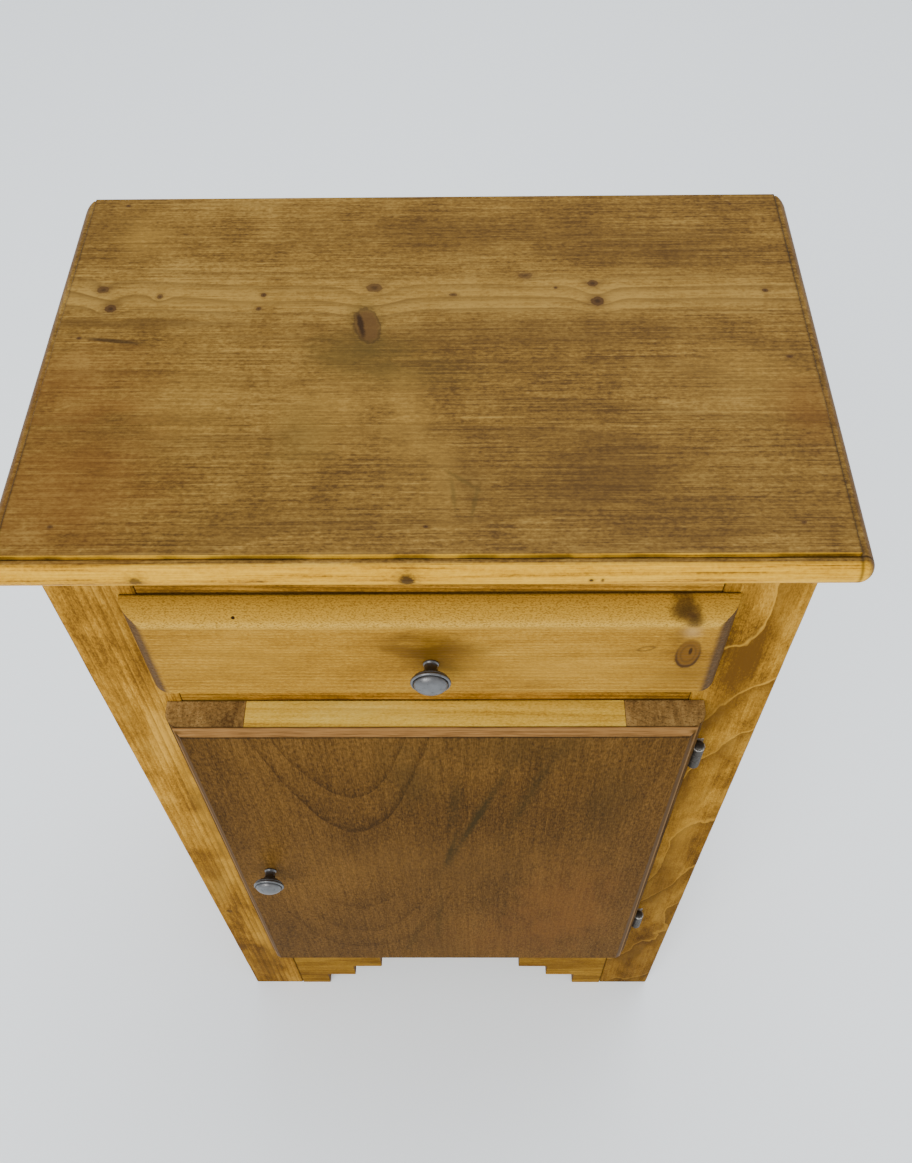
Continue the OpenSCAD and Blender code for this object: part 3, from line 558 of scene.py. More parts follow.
def dome(radius, start, rise, angles):
    """Points of a dome's outline from its rim up, at angles in degrees."""
    turns = [math.radians(angle) for angle in angles]
    return [(radius * math.cos(turn), start + rise * math.sin(turn)) for turn in turns]


def panel_mesh(low, high, profile, sides, cells):
    """A panel facing -Y whose front edges follow a profile of (inset, depth behind the front).

    sides says which of left, right, bottom and top are shaped; the profile starts at the back."""
    outlines = []
    for inset, depth in profile:
        x0, x1 = low.x + inset * sides[0], high.x - inset * sides[1]
        z0, z1 = low.z + inset * sides[2], high.z - inset * sides[3]
        y = low.y + depth
        corners = [Vector((x0, y, z0)), Vector((x1, y, z0)), Vector((x1, y, z1)), Vector((x0, y, z1))]
        outlines.append([corners[i].lerp(corners[(i + 1) % 4], k / cells)
                         for i in range(4) for k in range(cells)])
    return lofted(outlines)


def turned(profile, steps=64):
    """A turned shape round +Z from (radius, height) points; closed where the radius is 0."""
    bm = bmesh.new()
    rings = []
    for radius, height in profile:
        if radius < 1e-7:
            rings.append([bm.verts.new((0.0, 0.0, height))])
        else:
            turns = [2 * math.pi * i / steps for i in range(steps)]
            rings.append(ring_of(bm, [(radius * math.cos(t), radius * math.sin(t), height) for t in turns]))
    for first, second in zip(rings, rings[1:]):
        if len(first) == 1 and len(second) == 1:
            continue
        if len(first) == 1 or len(second) == 1:
            tip, loop = (first[0], second) if len(first) == 1 else (second[0], first)
            for i in range(steps):
                bm.faces.new((tip, loop[i], loop[(i + 1) % steps]))
        else:
            bridge(bm, first, second)
    bmesh.ops.recalc_face_normals(bm, faces=bm.faces[:])
    return bm


# ---------------------------------------------------------------- the moulded top

TOP_CORNER_R = 9.0 * MM
TOP_BACK_R = 7.0 * MM
FIELD_IN = 9.0 * MM
FIELD_EASE = 0.7 * MM
QUIRK_IN = 8.2 * MM
NOSE_R = 10.0 * MM
BACK_EASE = 1.6 * MM
GLUE_LINE = 0.04 * MM


def top_profile(thick):
    """(inset, height above the underside) from the middle of the underside round the nose to the field."""
    nose = arc((NOSE_R, NOSE_R), NOSE_R, 270.0, 110.0, 22)
    quirk_z = nose[-1][1] - 0.5 * MM
    field = arc((FIELD_IN + FIELD_EASE, thick - FIELD_EASE), FIELD_EASE, 180.0, 90.0, 4)
    return nose + [(QUIRK_IN + 0.4 * MM, quirk_z), (FIELD_IN, quirk_z)] + field


def top_outline(low, high, inset, back_inset):
    """The top's outline at one height, from the back left corner round the front to the back right."""
    radius = max(TOP_CORNER_R - inset, 0.3 * MM)
    back_r = max(TOP_BACK_R - inset, 0.3 * MM)
    x0, x1 = low.x + inset, high.x - inset
    y0, y1 = low.y + inset, high.y - back_inset
    points = [(x0 + back_r, y1)] + arc((x0 + back_r, y1 - back_r), back_r, 90.0, 180.0, 5)[1:]
    points += [(x0, y1 - back_r + (y0 + radius - y1 + back_r) * i / 40) for i in range(1, 40)]
    points += arc((x0 + radius, y0 + radius), radius, 180.0, 270.0, 10)
    points += [(x0 + radius + (x1 - x0 - 2 * radius) * i / 60, y0) for i in range(1, 60)]
    points += arc((x1 - radius, y0 + radius), radius, 270.0, 360.0, 10)
    points += [(x1, y0 + radius + (y1 - back_r - y0 - radius) * i / 40) for i in range(1, 40)]
    points += arc((x1 - back_r, y1 - back_r), back_r, 0.0, 90.0, 5)
    return points


def top_mesh(low, high):
    """The whole moulded top as one closed shell; the back edge is square with eased arrises."""
    thick = high.z - low.z
    outlines = []
    for inset, height in top_profile(thick):
        eased = max(0.0, BACK_EASE - min(height, thick - height))
        outlines.append([(x, y, low.z + height) for x, y in top_outline(low, high, inset, eased)])
    bm = lofted(outlines)
    for vert in bm.verts:
        on_edge = min(vert.co.x - low.x, high.x - vert.co.x, vert.co.y - low.y)
        if on_edge < FIELD_IN + 1.5 * MM:
            dent = noise.noise(vert.co * 38.0) * 0.25 * MM + noise.noise(vert.co * 130.0) * 0.12 * MM
            vert.co.z -= max(0.0, dent) * min(1.0, (vert.co.z - low.z) / thick)
            vert.co.y += max(0.0, dent) if vert.co.y - low.y < FIELD_IN else 0.0
    return bm


def cut_slab(bm, front, back):
    """Keeps what lies between two planes across Y and closes both cuts."""
    for at, direction in ((front, -1.0), (back, 1.0)):
        if at is None:
            continue
        geometry = bm.verts[:] + bm.edges[:] + bm.faces[:]
        cut = bmesh.ops.bisect_plane(bm, geom=geometry, plane_co=(0.0, at, 0.0),
                                     plane_no=(0.0, direction, 0.0), clear_outer=True)
        loop = [item for item in cut["geom_cut"] if isinstance(item, bmesh.types.BMEdge)]
        bmesh.ops.edgeloop_fill(bm, edges=loop)
    bmesh.ops.recalc_face_normals(bm, faces=bm.faces[:])


# place along the top and behind its face, half length, half width, depth
TOP_KNOTS = in_metres((
    (-40, 167, 7.8, 16, 0.80), (-37, 202, 5.5, 4.5, 0.75), (-213, 202, 4.2, 3.6, 0.8),
    (-205, 184, 4, 4, 1.0), (104, 205, 3.6, 3.4, 0.9), (106, 188, 4.6, 4.4, 1.0),
    (61, 213, 4.8, 3.2, 0.6), (-175, 195, 2.2, 2.6, 0.7), (-108, 196, 2, 2, 0.9),
    (-110, 183, 1.8, 1.8, 0.8), (14, 195, 3, 1.6, 0.7), (80, 201, 1.3, 1.3, 0.8),
    (214, 197, 2.2, 1.8, 0.9), (220, 137, 2.2, 1.4, 0.9), (-220, 157, 1.8, 1.2, 0.9),
    (-211, 288, 1.8, 1.4, 0.8), (203, 285, 1.2, 1.4, 0.8), (0, 7, 1.4, 1, 1.0),
    (207, 9, 1.6, 1.2, 0.8), (-207, 8, 1.8, 1.2, 0.7),
), FACE_Y)
NOSE_KNOTS = ((-0.010, 0.0060, 0.0075, 0.85), (-0.158, 0.0060, 0.0042, 0.7), (0.090, 0.0016, 0.0020, 0.9),
              (-0.090, 0.0030, 0.0012, 0.5), (0.096, 0.0010, 0.0020, 0.7))


def top_finish(name, seed):
    """Stained and waxed pine: olive brown, blotched, with a lighter band, knots and a golden nose."""
    wood = Timber(name, "x", "y", seed)
    joints = [corner.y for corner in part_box("top_board_middle")]
    boards = wood.v.step(joints[0], joints[0] + 0.01 * MM) + wood.v.step(joints[1], joints[1] + 0.01 * MM)
    shift = wood.join(boards * 3.7, 0.0, 0.0)
    wood.grown = wood.node("ShaderNodeVectorMath", {"operation": "ADD"}, {0: wood.place, 1: shift})
    y = FACE_Y
    dark, light = OLIVE[0], OLIVE[2]
    band = (wood.v - (y + 0.194)) / 0.021
    sag = (wood.drawn(5.0, 2.0, 61.0, 1.0) - 0.5) * 0.9
    band = (band + sag).bell()
    knots = [(u, v, long * 2.6, wide * 2.6, 0.0016 * depth) for u, v, long, wide, depth in TOP_KNOTS[:8]]
    rings = wood.rings(y + 0.02, -0.31, 0.0021, wave=0.010, tilt=0.006, fine=0.0005, knots=knots)
    fibres = wood.fibres(20.0, 1000.0)
    threads = wood.fibres(7.0, 420.0, shift=71.0)
    cloud = wood.blotches(9.0, 20.0, detail=4.0) - 0.5
    smudge = wood.blotches(30.0, 46.0, shift=81.0, detail=4.0) - 0.5
    cross = wood.blotches(46.0, 14.0, shift=91.0, detail=3.0) - 0.5
    grit = wood.mottle(330.0)
    speck = wood.drawn(300.0, 620.0, 13.0, 2.0, 0.6) - 0.5
    tone = cloud * 0.55 + smudge * 0.50 + cross * 0.45 + fibres * 1.00 + threads * 0.75 + grit * 0.70
    tone = tone + speck * 0.75 + band * 0.30 - (wood.u + 0.05) * 0.22 + 0.46
    wood.colour = wood.ramp(tone.held(), TONES_AT, OLIVE)
    wood.paint(rings * (band * 0.40 + 0.26), dark)
    wood.paint(wood.flecks(150.0, 1300.0) * 0.32, dark)
    red_brown = (0.130, 0.050, 0.010)
    green_brown = (0.080, 0.050, 0.011)
    honey = (0.340, 0.195, 0.040)
    wood.add_patches(in_metres((
        (-205, 35, 50, 60, 0.55, red_brown), (-215, 120, 50, 30, 0.42, red_brown),
        (-190, 170, 75, 6, 0.55, dark), (-235, 260, 30, 30, 0.30, dark),
        (20, 255, 130, 20, 0.35, dark), (150, 238, 55, 20, 0.42, dark),
        (40, 160, 120, 14, 0.45, dark), (-45, 140, 30, 16, 0.70, green_brown),
        (-15, 125, 40, 12, 0.40, green_brown), (-75, 75, 16, 22, 0.40, green_brown),
        (21, 42, 14, 14, 0.45, dark), (110, 40, 80, 40, 0.30, dark),
        (222, 95, 16, 22, 0.50, red_brown), (-195, 258, 18, 18, 0.35, honey),
        (-12, 85, 16, 40, 0.26, honey), (8, 40, 10, 34, 0.26, honey),
        (-60, 95, 30, 30, 0.28, honey), (190, 120, 35, 30, 0.22, honey),
        (-140, 100, 30, 30, 0.22, honey), (100, 195, 150, 16, 0.25, honey),
        (-130, 195, 110, 12, 0.22, honey),
    ), y))
    crack = wood.reach(-0.198, y + 0.1545, 0.022, 0.0021, lean=-0.14)
    wood.paint(crack.fade(0.4, 1.2, 0.75), KNOT_CORE)
    for u, v, lean in ((0.015, y + 0.030, 0.10), (0.027, y + 0.024, -0.16), (0.020, y + 0.040, 0.9)):
        bark = wood.reach(u, v, 0.0016, 0.014, lean=lean) + grit * 0.9
        wood.paint(bark.fade(0.2, 1.4, 0.50), green_brown)
    wood.add_knots(TOP_KNOTS[1:])
    low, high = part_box("top_board_front")
    nose = (-1.0 * wood.normal[1]).step(0.25, 0.7)
    nose_tone = threads * 1.1 + fibres * 0.9 + grit * 0.6 + wood.blotches(16.0, 70.0, shift=5.0) * 0.7 + 0.16
    golden = wood.ramp(nose_tone.held(), (0.15, 0.42, 0.80), NOSE_GOLD)
    rise = wood.w - (low.z + NOSE_R)
    for u, long, wide, depth in NOSE_KNOTS:
        away = ((wood.u - u) / long * ((wood.u - u) / long) + rise / wide * (rise / wide)).root()
        away = away + grit * 0.8
        golden = wood.mix(away.fade(0.5, 1.9, 0.55 * depth), golden, AMBER[0])
        golden = wood.mix(away.fade(0.4, 0.95, depth), golden, KNOT_CORE)
    wood.paint(nose, golden)
    u, v, long, wide, depth = TOP_KNOTS[0]
    uneven = wood.drawn(170.0, 150.0, 33.0, 3.0, 0.6) - 0.5
    almond = wood.reach(u, v, long, wide, lean=0.20) + grit * 0.30 + uneven * 0.5
    wood.paint(almond.fade(0.7, 2.0, 0.45), green_brown)
    wood.paint(almond.fade(0.70, 1.15, depth), (0.092, 0.044, 0.0140))
    flank = wood.reach(u - 0.50 * long, v, 0.26 * long, 0.72 * wide, lean=0.20) + grit * 0.5 + uneven
    wood.paint(flank.fade(0.5, 1.4, 0.90), KNOT_CORE)
    wood.paint(almond.line(1.0, 0.10) * 0.45, KNOT_CORE)
    side = wood.normal[0].size().step(0.35, 0.75)
    wood.paint(side * 0.75, END_GRAIN)
    broken = wood.drawn(34.0, 3.0, 101.0, 3.0).step(0.34, 0.62)
    quirk = wood.v.line(low.y + FIELD_IN - 0.3 * MM, 0.55 * MM)
    wood.paint(quirk * (broken * 0.75 + 0.2), DARK_LINE_AND_GAP_SHADE)
    worn = wood.v.line(low.y + FIELD_IN + 1.3 * MM, 1.0 * MM)
    wood.paint(worn * (1.0 - broken) * 0.45, light)
    wood.paint(wood.u.size().line(high.x - FIELD_IN, 1.1 * MM) * (broken * 0.7 + 0.2), DARK_LINE_AND_GAP_SHADE)
    for joint in joints:
        line = wood.v.line(joint, 0.35 * MM)
        wood.paint(line * (broken * 0.4 + 0.18), dark)
    height = fibres * 0.5 + threads * 0.35 - rings * 0.25 + grit * 0.3
    rough = cloud * 0.10 + smudge * 0.12 + fibres * 0.10 + grit * 0.06 + 0.42
    return wood.surface(wood.colour, rough, height, 0.00016, {"Specular IOR Level": 0.035})


def make_top():
    low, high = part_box("top_board_front")
    high = Vector((high.x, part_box("top_board_back")[1].y, high.z))
    first, second = [corner.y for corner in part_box("top_board_middle")]
    spans = {
        "top_board_front": (None, first - GLUE_LINE),
        "top_board_middle": (first + GLUE_LINE, second - GLUE_LINE),
        "top_board_back": (second + GLUE_LINE, None),
    }
    finish = top_finish("waxed_top", 1.7)
    for node, (front, back) in spans.items():
        bm = top_mesh(low, high)
        cut_slab(bm, front, back)
        piece_from(bm, node + "_moulded", "cabinet", finish, [node], smooth=40.0)


# ---------------------------------------------------------------- front frame


def make_front_frame():
    lighter = [shade(tone, 1.16) for tone in GOLD]
    left = Pine("left_post_pine", "z", "x", lighter, 2.0, pith=(-0.30, -0.10), spacing=0.0055, contrast=0.35,
                cloud=1.5, knots=((0.245, -0.214, 0.004, 0.003, 0.6),))
    left.add_patches(in_metres((
        (770, -190, 60, 8, 0.25, GOLD[0]), (640, -212, 70, 7, 0.35, GOLD[0]),
        (480, -190, 140, 8, 0.45, GOLD[2]), (560, -175, 50, 6, 0.55, GOLD[0]),
        (330, -210, 80, 10, 0.50, GOLD[0]), (150, -190, 70, 10, 0.35, GOLD[2]),
        (60, -205, 60, 14, 0.50, GOLD[0]), (700, -180, 20, 10, 0.55, GOLD[0]))))
    # a dark line down the inner edge: the joints with rails and apron, and painted shade along the drawer and
    # door gaps
    left.seam(left.v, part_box("left_post")[1].x, 0.7 * MM, 0.6)
    # darker towards the foot of the post
    left.darker_towards_foot(0.0, 0.70, 0.60)
    left.end_grain()
    board("left_post", left.done(), ease=1.8 * MM, seed=1.0)
    right = Pine("right_post_pine", "z", "x", GOLD, 9.0, pith=(0.19, -0.05), spacing=0.009, tilt=0.05,
                 contrast=0.22, cloud=1.5, figure=0.62)
    right.add_patches(in_metres((
        (700, 198, 50, 10, 0.55, GOLD[0]), (640, 190, 30, 9, 0.60, GOLD[0]),
        (585, 205, 20, 8, 0.45, GOLD[0]), (520, 192, 30, 8, 0.60, GOLD[0]),
        (430, 202, 50, 8, 0.40, GOLD[2]), (330, 200, 80, 12, 0.50, GOLD[0]),
        (100, 198, 80, 12, 0.45, GOLD[0]))))
    # a dark line down the inner edge: the joints with rails and apron, and painted shade along the drawer and
    # door gaps
    right.seam(right.v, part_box("right_post")[0].x, 0.7 * MM, 0.6)
    # darker towards the foot of the post
    right.darker_towards_foot(0.05, 0.85, 0.88)
    right.end_grain()
    board("right_post", right.done(), ease=1.8 * MM, seed=2.0)
    for seed, node in enumerate(("top_rail", "middle_rail")):
        wood = Pine(node + "_pine", "x", "z", GOLD, 15.0 + seed, pith=(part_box(node)[0].z - 0.05, -0.2),
                    spacing=0.003, contrast=0.4, cloud=0.9)
        lid = {"top_rail": "drawer_front", "middle_rail": "left_door_stile"}[node]
        # Painted shade: a dark line on the rail just above the drawer or door top, where the gap is.
        wood.seam(wood.v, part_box(lid)[1].z + 0.4 * MM, 1.0 * MM, 0.85)
        wood.end_grain()
        board(node, wood.done(), ease=0.5 * MM, seed=3.0 + seed)
    make_apron()


def apron_steps(low, high):
    """The lower edge from the right end inwards, measured off the corners of the CAD node."""
    same, apart = 0.05 * MM, 0.1 * MM
    points = {(round(v.co.x, 5), round(v.co.z, 5)) for v in frame["nodes"]["stepped_apron"].data.vertices
              if abs(v.co.y - low.y) < same and 0.0 < v.co.x < high.x + apart and v.co.z < high.z - apart}
    x, level = high.x, low.z
    steps = [(x, level)]
    while True:
        edge = [p[0] for p in points if abs(p[1] - level) < same and p[0] < x - apart]
        if not edge:
            return steps
        x = max(edge)
        steps.append((x, level))
        above = [p[1] for p in points if abs(p[0] - x) < same and p[1] > level + apart]
        if not above:
            return steps
        level = min(above)
        steps.append((x, level))


def make_apron():
    """The stepped apron with eased arrises; each step is as wide and high as the CAD says."""
    low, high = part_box("stepped_apron")
    steps = apron_steps(low, high)
    outline = steps + [(-x, z) for x, z in reversed(steps)] + [(low.x, high.z), (high.x, high.z)]
    bm = lofted([[(x, y, z) for x, z in outline] for y in (low.y, high.y)])
    round_edges(bm, bm.edges[:], 0.9 * MM, 2)
    tones = [shade(tone, 0.72) for tone in HONEY]
    wood = Pine("apron_pine", "x", "z", tones, 21.0, pith=(0.02, -0.16), spacing=0.0042, cloud=1.2)
    wood.seam(wood.u.size(), high.x, 0.8 * MM, 0.8)
    wood.end_grain(low=0.6)
    piece_from(bm, "stepped_apron_board", "cabinet", wood.done(0.45), ["stepped_apron"])


# ---------------------------------------------------------------- drawer front

FRONT_ROUND = 14.0 * MM


def drawer_front_finish(low, high):
    """Golden straight-grained pine; painted light and a painted highlight on the rounded top, a painted
    highlight line near the lower edge, a spike knot at the right, a smudge round the knob, dark end grain.
    """
    wood = Pine("drawer_front_pine", "x", "z", HONEY, 33.0, pith=(low.z - 0.06, -0.30), spacing=0.0018,
                tilt=0.004, contrast=0.22, cloud=0.7)
    dark, light = HONEY[0], HONEY[2]
    knob_z = (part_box("drawer_knob")[0].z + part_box("drawer_knob")[1].z) / 2
    up = high.z - FRONT_ROUND
    # Painted light: the rounded top is painted a lighter gold where light from above falls on it, and the
    # crest line is a painted highlight; the dark dashes on it are grain.
    band = wood.v.step(up - 1.2 * MM, up + 0.6 * MM)
    crest = wood.v.line(up + 2.5 * MM, 3.2 * MM)
    dash = wood.drawn(760.0, 1700.0, 12.0, 2.0, 0.6)
    wood.paint(band * 0.72, (0.560, 0.315, 0.0360))
    wood.paint(crest * 0.40, (0.760, 0.480, 0.0900))
    wood.paint(band * dash.step(0.46, 0.62) * 0.55, dark)
    wood.paint(dash.step(0.50, 0.68) * 0.34, dark)
    knot_x = 0.156
    wood.add_patches((
        (0.003, knob_z + 0.014, 0.026, 0.018, 0.95, shade(dark, 0.40)),
        (0.003, knob_z + 0.008, 0.036, 0.022, 0.45, dark),
        (0.150, low.z + 0.020, 0.030, 0.030, 0.35, dark),
        (0.080, low.z + 0.030, 0.060, 0.020, 0.30, light),
        (-0.120, low.z + 0.040, 0.050, 0.025, 0.22, light),
        (knot_x - 0.002, up - 0.005, 0.006, 0.008, 0.45, (0.50, 0.33, 0.14)),
        (knot_x - 0.008, up - 0.016, 0.006, 0.018, 0.50, shade(dark, 0.7)),
        (knot_x + 0.004, low.z + 0.026, 0.014, 0.012, 0.40, shade(dark, 0.8))))
    ragged = wood.drawn(300.0, 300.0, 31.0, 3.0, 0.6) - 0.5
    drop = wood.reach(knot_x, low.z + 0.047, 0.0074, 0.0160) + ragged * 0.16
    wood.paint(drop.fade(0.80, 1.10, 0.85), (0.150, 0.066, 0.0100))
    lower = wood.v.fade(low.z + 0.034, low.z + 0.062)
    rim = drop.line(0.95, 0.12)
    wood.paint(rim * (lower * 0.85 + 0.30), KNOT_RIM)
    inner_rim = drop.line(0.60, 0.10)
    wood.paint(inner_rim * 0.45, KNOT_RIM)
    eye = wood.reach(knot_x + 0.001, low.z + 0.050, 0.0013, 0.0046)
    wood.paint(eye.fade(0.5, 1.2, 0.85), KNOT_CORE)
    for u, v, long, wide, depth in ((knot_x - 0.007, high.z - 0.0040, 0.0082, 0.0048, 0.80),
                                    (knot_x - 0.001, high.z - 0.0090, 0.0052, 0.0050, 0.70)):
        away = wood.reach(u, v, long, wide) + ragged * 0.7
        wood.paint(away.fade(0.6, 1.5, depth), KNOT_RIM)
        wood.paint(away.fade(0.2, 0.9, 0.6 * depth), KNOT_CORE)
    squiggle = wood.reach(knot_x - 0.026, low.z + 0.053, 0.0050, 0.0022, lean=0.35)
    wood.paint(squiggle.line(1.0, 0.25) * 0.6, KNOT_RIM)
    hole = wood.reach(-0.114, high.z - 0.0062, 0.0011, 0.0009)
    dent = hole.fade(0.7, 1.2)
    wood.paint(dent, KNOT_CORE)
    # Painted highlight: a light line a little above the square lower edge.
    line = wood.v.line(low.z + 3.5 * MM, 0.5 * MM)
    wood.paint(line * 0.4, light)
    wood.end_grain((0.092, 0.048, 0.016), 0.08, 0.42)
    # Painted shade along the back edges of the front, which face the gap round the drawer.
    wood.seam(wood.point[1], high.y, 1.1 * MM, 0.9)
    wood.height = wood.height - dent * 3.0
    return wood.done(0.36, 0.010)


def make_drawer_front():
    low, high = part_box("drawer_front")
    thick = high.y - low.y
    curve = [(FRONT_ROUND - x, FRONT_ROUND - y)
             for x, y in arc((0.0, 0.0), FRONT_ROUND, 0.0, 90.0, 16)]
    profile = [(0.0, thick)] + curve
    bm = panel_mesh(low, high, profile, (1, 1, 0, 1), cells=40)
    for vert in bm.verts:
        wander = noise.noise(vert.co * 22.0) * 0.25 * MM
        if vert.co.z < low.z + 0.1 * MM:
            vert.co.z += abs(wander) * 0.6
        elif vert.co.z > high.z - FRONT_ROUND and vert.co.y < high.y - 1.0 * MM:
            vert.co.y += abs(wander)
    piece_from(bm, "drawer_front_shaped", "drawer", drawer_front_finish(low, high),
               ["drawer_front"], smooth=30.0)


# ---------------------------------------------------------------- door

DOOR_ROUND = 12.0 * MM
SKIN_BEVEL = 5.0 * MM
SKIN_LIP = 1.5 * MM
STILE_EASE = 0.5 * MM
RAIL_EASE = 0.35 * MM


def make_door_frame():
    for node, side, seed in (("left_door_stile", -1, 5.0), ("right_door_stile", 1, 6.0)):
        low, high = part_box(node)
        bm = block_mesh(low, high)
        outer = low.x if side < 0 else high.x
        edge = [e for e in bm.edges
                if all(abs(v.co.x - outer) < MM and abs(v.co.y - low.y) < MM for v in e.verts)]
        round_edges(bm, edge, DOOR_ROUND, 12)
        sharp = [e for e in bm.edges if e.calc_face_angle(0.0) > 0.9]
        round_edges(bm, sharp, STILE_EASE, 2)
        slice_along(bm, 2, low, high, 0.03)
        wood = Pine(node + "_pine", "z", "x", UMBER, 40.0 + seed, pith=(outer, -0.03), spacing=0.004,
                    contrast=0.45)
        rough, pores, bands = (
            wood.noise(wood.join(wood.point[0] * along, wood.point[1] * across, seed), 1.0, detail, roughness)
            for along, across, detail, roughness in (
                (420.0, 420.0, 3.0, 0.6), (900.0, 900.0, 1.0, 0.5), (190.0, 45.0, 2.0, 0.5)))
        pores = pores.step(0.56, 0.7)
        tone = rough * 0.5 + bands * 0.6 + (wood.point[0] * (-2.4) - 0.38 if side < 0 else 0.0)
        end = wood.ramp(tone, (0.36, 0.56, 0.74), STILE_END)
        end = wood.mix(pores * 0.60, end, (0.040, 0.020, 0.009))
        wood.paint(wood.end_facing.step(0.6, 0.85), end)
        # Painted shade: a dark line along the front of the stile, where the skin lies against it.
        wood.seam(wood.point[1], low.y, 0.5 * MM, 0.85)
        piece_from(bm, node + "_shaped", "door", wood.done(0.45), [node])
    for node, seed in (("door_top_rail", 7.0), ("door_bottom_rail", 8.0)):
        low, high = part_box(node)
        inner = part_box("left_door_stile")[1].x
        low, high = Vector((inner, low.y, low.z)), Vector((-inner, high.y, high.z))
        bm = block_mesh(low, high)
        round_edges(bm, bm.edges[:], RAIL_EASE, 2)
        slice_along(bm, 0, low, high, 0.03)
        wood = Pine(node + "_pine", "x", "y", RAIL_GOLD, 50.0 + seed, pith=(low.y - 0.03, low.z - 0.1),
                    spacing=0.0028, tilt=0.006, contrast=0.30, cloud=0.6)
        # Painted shade: a dark line along the front of the rail, where the skin lies against it.
        wood.seam(wood.v, low.y, 0.5 * MM, 0.85)
        piece_from(bm, node + "_shaped", "door", wood.done(0.42), [node])


def skin_finish(high):
    """Brown stained veneer: a tall cathedral at the left, dark mineral streaks, fine upright flecks, and
    bevels with painted light on top and painted shade at the sides.
    """
    wood = Timber("door_skin_veneer", "z", "x", 61.0)
    dark, light = UMBER[0], UMBER[2]
    z, x = wood.u, wood.v
    apex_z, apex_x = 0.500, -0.066
    slow = wood.drawn(5.0, 12.0, 2.0, 2.0) - 0.5
    wave = wood.drawn(22.0, 60.0, 4.0, 2.0) - 0.5
    dx = x - apex_x
    rise = z - apex_z - dx * dx * 44.0 + slow * 0.070 + wave * 0.010
    field = (rise / 0.075).part()
    arms = rise.step(-0.004, 0.004) * rise.fade(0.03, 0.17)
    edge = (1.0 - field) ** 5.0
    low_dx = x + 0.075
    low_rise = z - 0.335 - low_dx * low_dx * 22.0 + slow * 0.09 + wave * 0.012
    low_edge = (1.0 - (low_rise / 0.060).part()) ** 4.0
    low_zone = low_rise.step(-0.130, -0.120) * z.fade(0.30, 0.42)
    fleck = wood.drawn(150.0, 1600.0, 6.0, 2.0, 0.6)
    strand = wood.fibres(14.0, 520.0, shift=8.0)
    cloud = wood.blotches(6.0, 10.0, shift=10.0, detail=3.0) - 0.5
    grit = wood.mottle(260.0, shift=14.0)
    tone = cloud * 0.75 + (fleck - 0.5) * 1.05 + strand * 0.55 + grit * 0.90 + 0.46
    tone = tone - edge * arms * 0.34 - low_edge * low_zone * 0.14
    wood.colour = wood.ramp(tone.held(), (0.12, 0.46, 0.86), UMBER)
    green_black = (0.034, 0.022, 0.006)
    russet = (0.175, 0.070, 0.014)
    wood.add_patches(in_metres((
        (330, 110, 100, 40, 0.40, russet), (240, 60, 60, 60, 0.25, russet),
        (440, -10, 50, 110, 0.22, light), (600, -20, 50, 20, 0.40, green_black),
        (650, 60, 30, 50, 0.30, green_black), (560, 125, 70, 20, 0.30, green_black),
        (215, 0, 50, 30, 0.25, dark))))
    for u, v, long, wide, lean, depth in in_metres((
        (525, 27, 75, 3.4, 0.25, 0.92), (470, 8, 28, 2.2, 0.16, 0.75), (560, 12, 40, 5, 0.05, 0.45),
        (585, 70, 70, 5, 0.22, 0.55), (300, -6, 60, 3, 0.05, 0.35), (250, -30, 45, 3.5, 0.22, 0.35))):
        away = wood.reach(u, v, long, wide, lean) + grit * 1.2 + wave * 1.5
        wood.paint(away.bell() * depth, green_black)
    facing = wood.normal[1].size()
    bevel = 1.0 - facing.step(0.90, 0.97)
    layers = wood.join(x * 45.0, wood.point[1] * 1300.0, z * 1300.0)
    ply = wood.ramp(wood.noise(layers, 1.0, 3.0, 0.6), (0.30, 0.5, 0.75), TAN)
    # Painted light and shade on the bevels: those that face up get the tan ply colour as if lit, those that
    # face sideways and down a dark brown as painted shade.
    lit_upward_bevel = wood.normal[2].step(0.2, 0.45)
    wood.paint(bevel, wood.mix(lit_upward_bevel, shade(UMBER[1], 0.8), ply))
    wood.paint(z.line(high.z - SKIN_BEVEL - 0.9 * MM, 0.9 * MM) * 0.75, DARK_LINE_AND_GAP_SHADE)
    # Painted shade: a dark line along the back of the skin, where it lies against the frame.
    wood.paint(wood.point[1].line(high.y, 0.4 * MM) * 0.85, DARK_LINE_AND_GAP_SHADE)
    wood.paint(wood.point[1].line(high.y - SKIN_LIP, 0.6 * MM) * 0.55, TAN[2])
    height = (fleck - 0.5) * 0.8 + grit * 0.4
    rough = cloud * 0.12 + (fleck - 0.5) * 0.16 + 0.40
    return wood.surface(wood.colour, rough, height, 0.00014, {"Specular IOR Level": 0.006})


def make_door_skin():
    low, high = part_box("door_skin")
    thick = high.y - low.y
    ease = 0.8 * MM
    profile = [(0.0, thick), (0.0, thick - SKIN_LIP + ease / 2)]
    fall = thick - SKIN_LIP
    profile += [(SKIN_BEVEL * t, fall - fall * t ** 1.25) for t in (0.15, 0.35, 0.55, 0.72, 0.86, 0.95)]
    profile += [(SKIN_BEVEL + 0.5 * MM, 0.0)]
    bm = panel_mesh(low, high, profile, (1, 1, 1, 1), cells=30)
    finish = skin_finish(high)
    piece_from(bm, "door_skin_shaped", "door", finish, ["door_skin"], smooth=50.0)


# ---------------------------------------------------------------- knobs and hinges


# each metal: its clean and its darkened colour
PEWTER = ((0.175, 0.175, 0.178), (0.085, 0.084, 0.083))
IRON = ((0.040, 0.033, 0.025), (0.020, 0.016, 0.012))
ZINC = ((0.56, 0.56, 0.55), (0.34, 0.34, 0.34))
# bright colour of rubbed edges, also used for the painted highlight on the barrel rims
RUBBED_AND_HIGHLIGHT = (0.74, 0.71, 0.65)


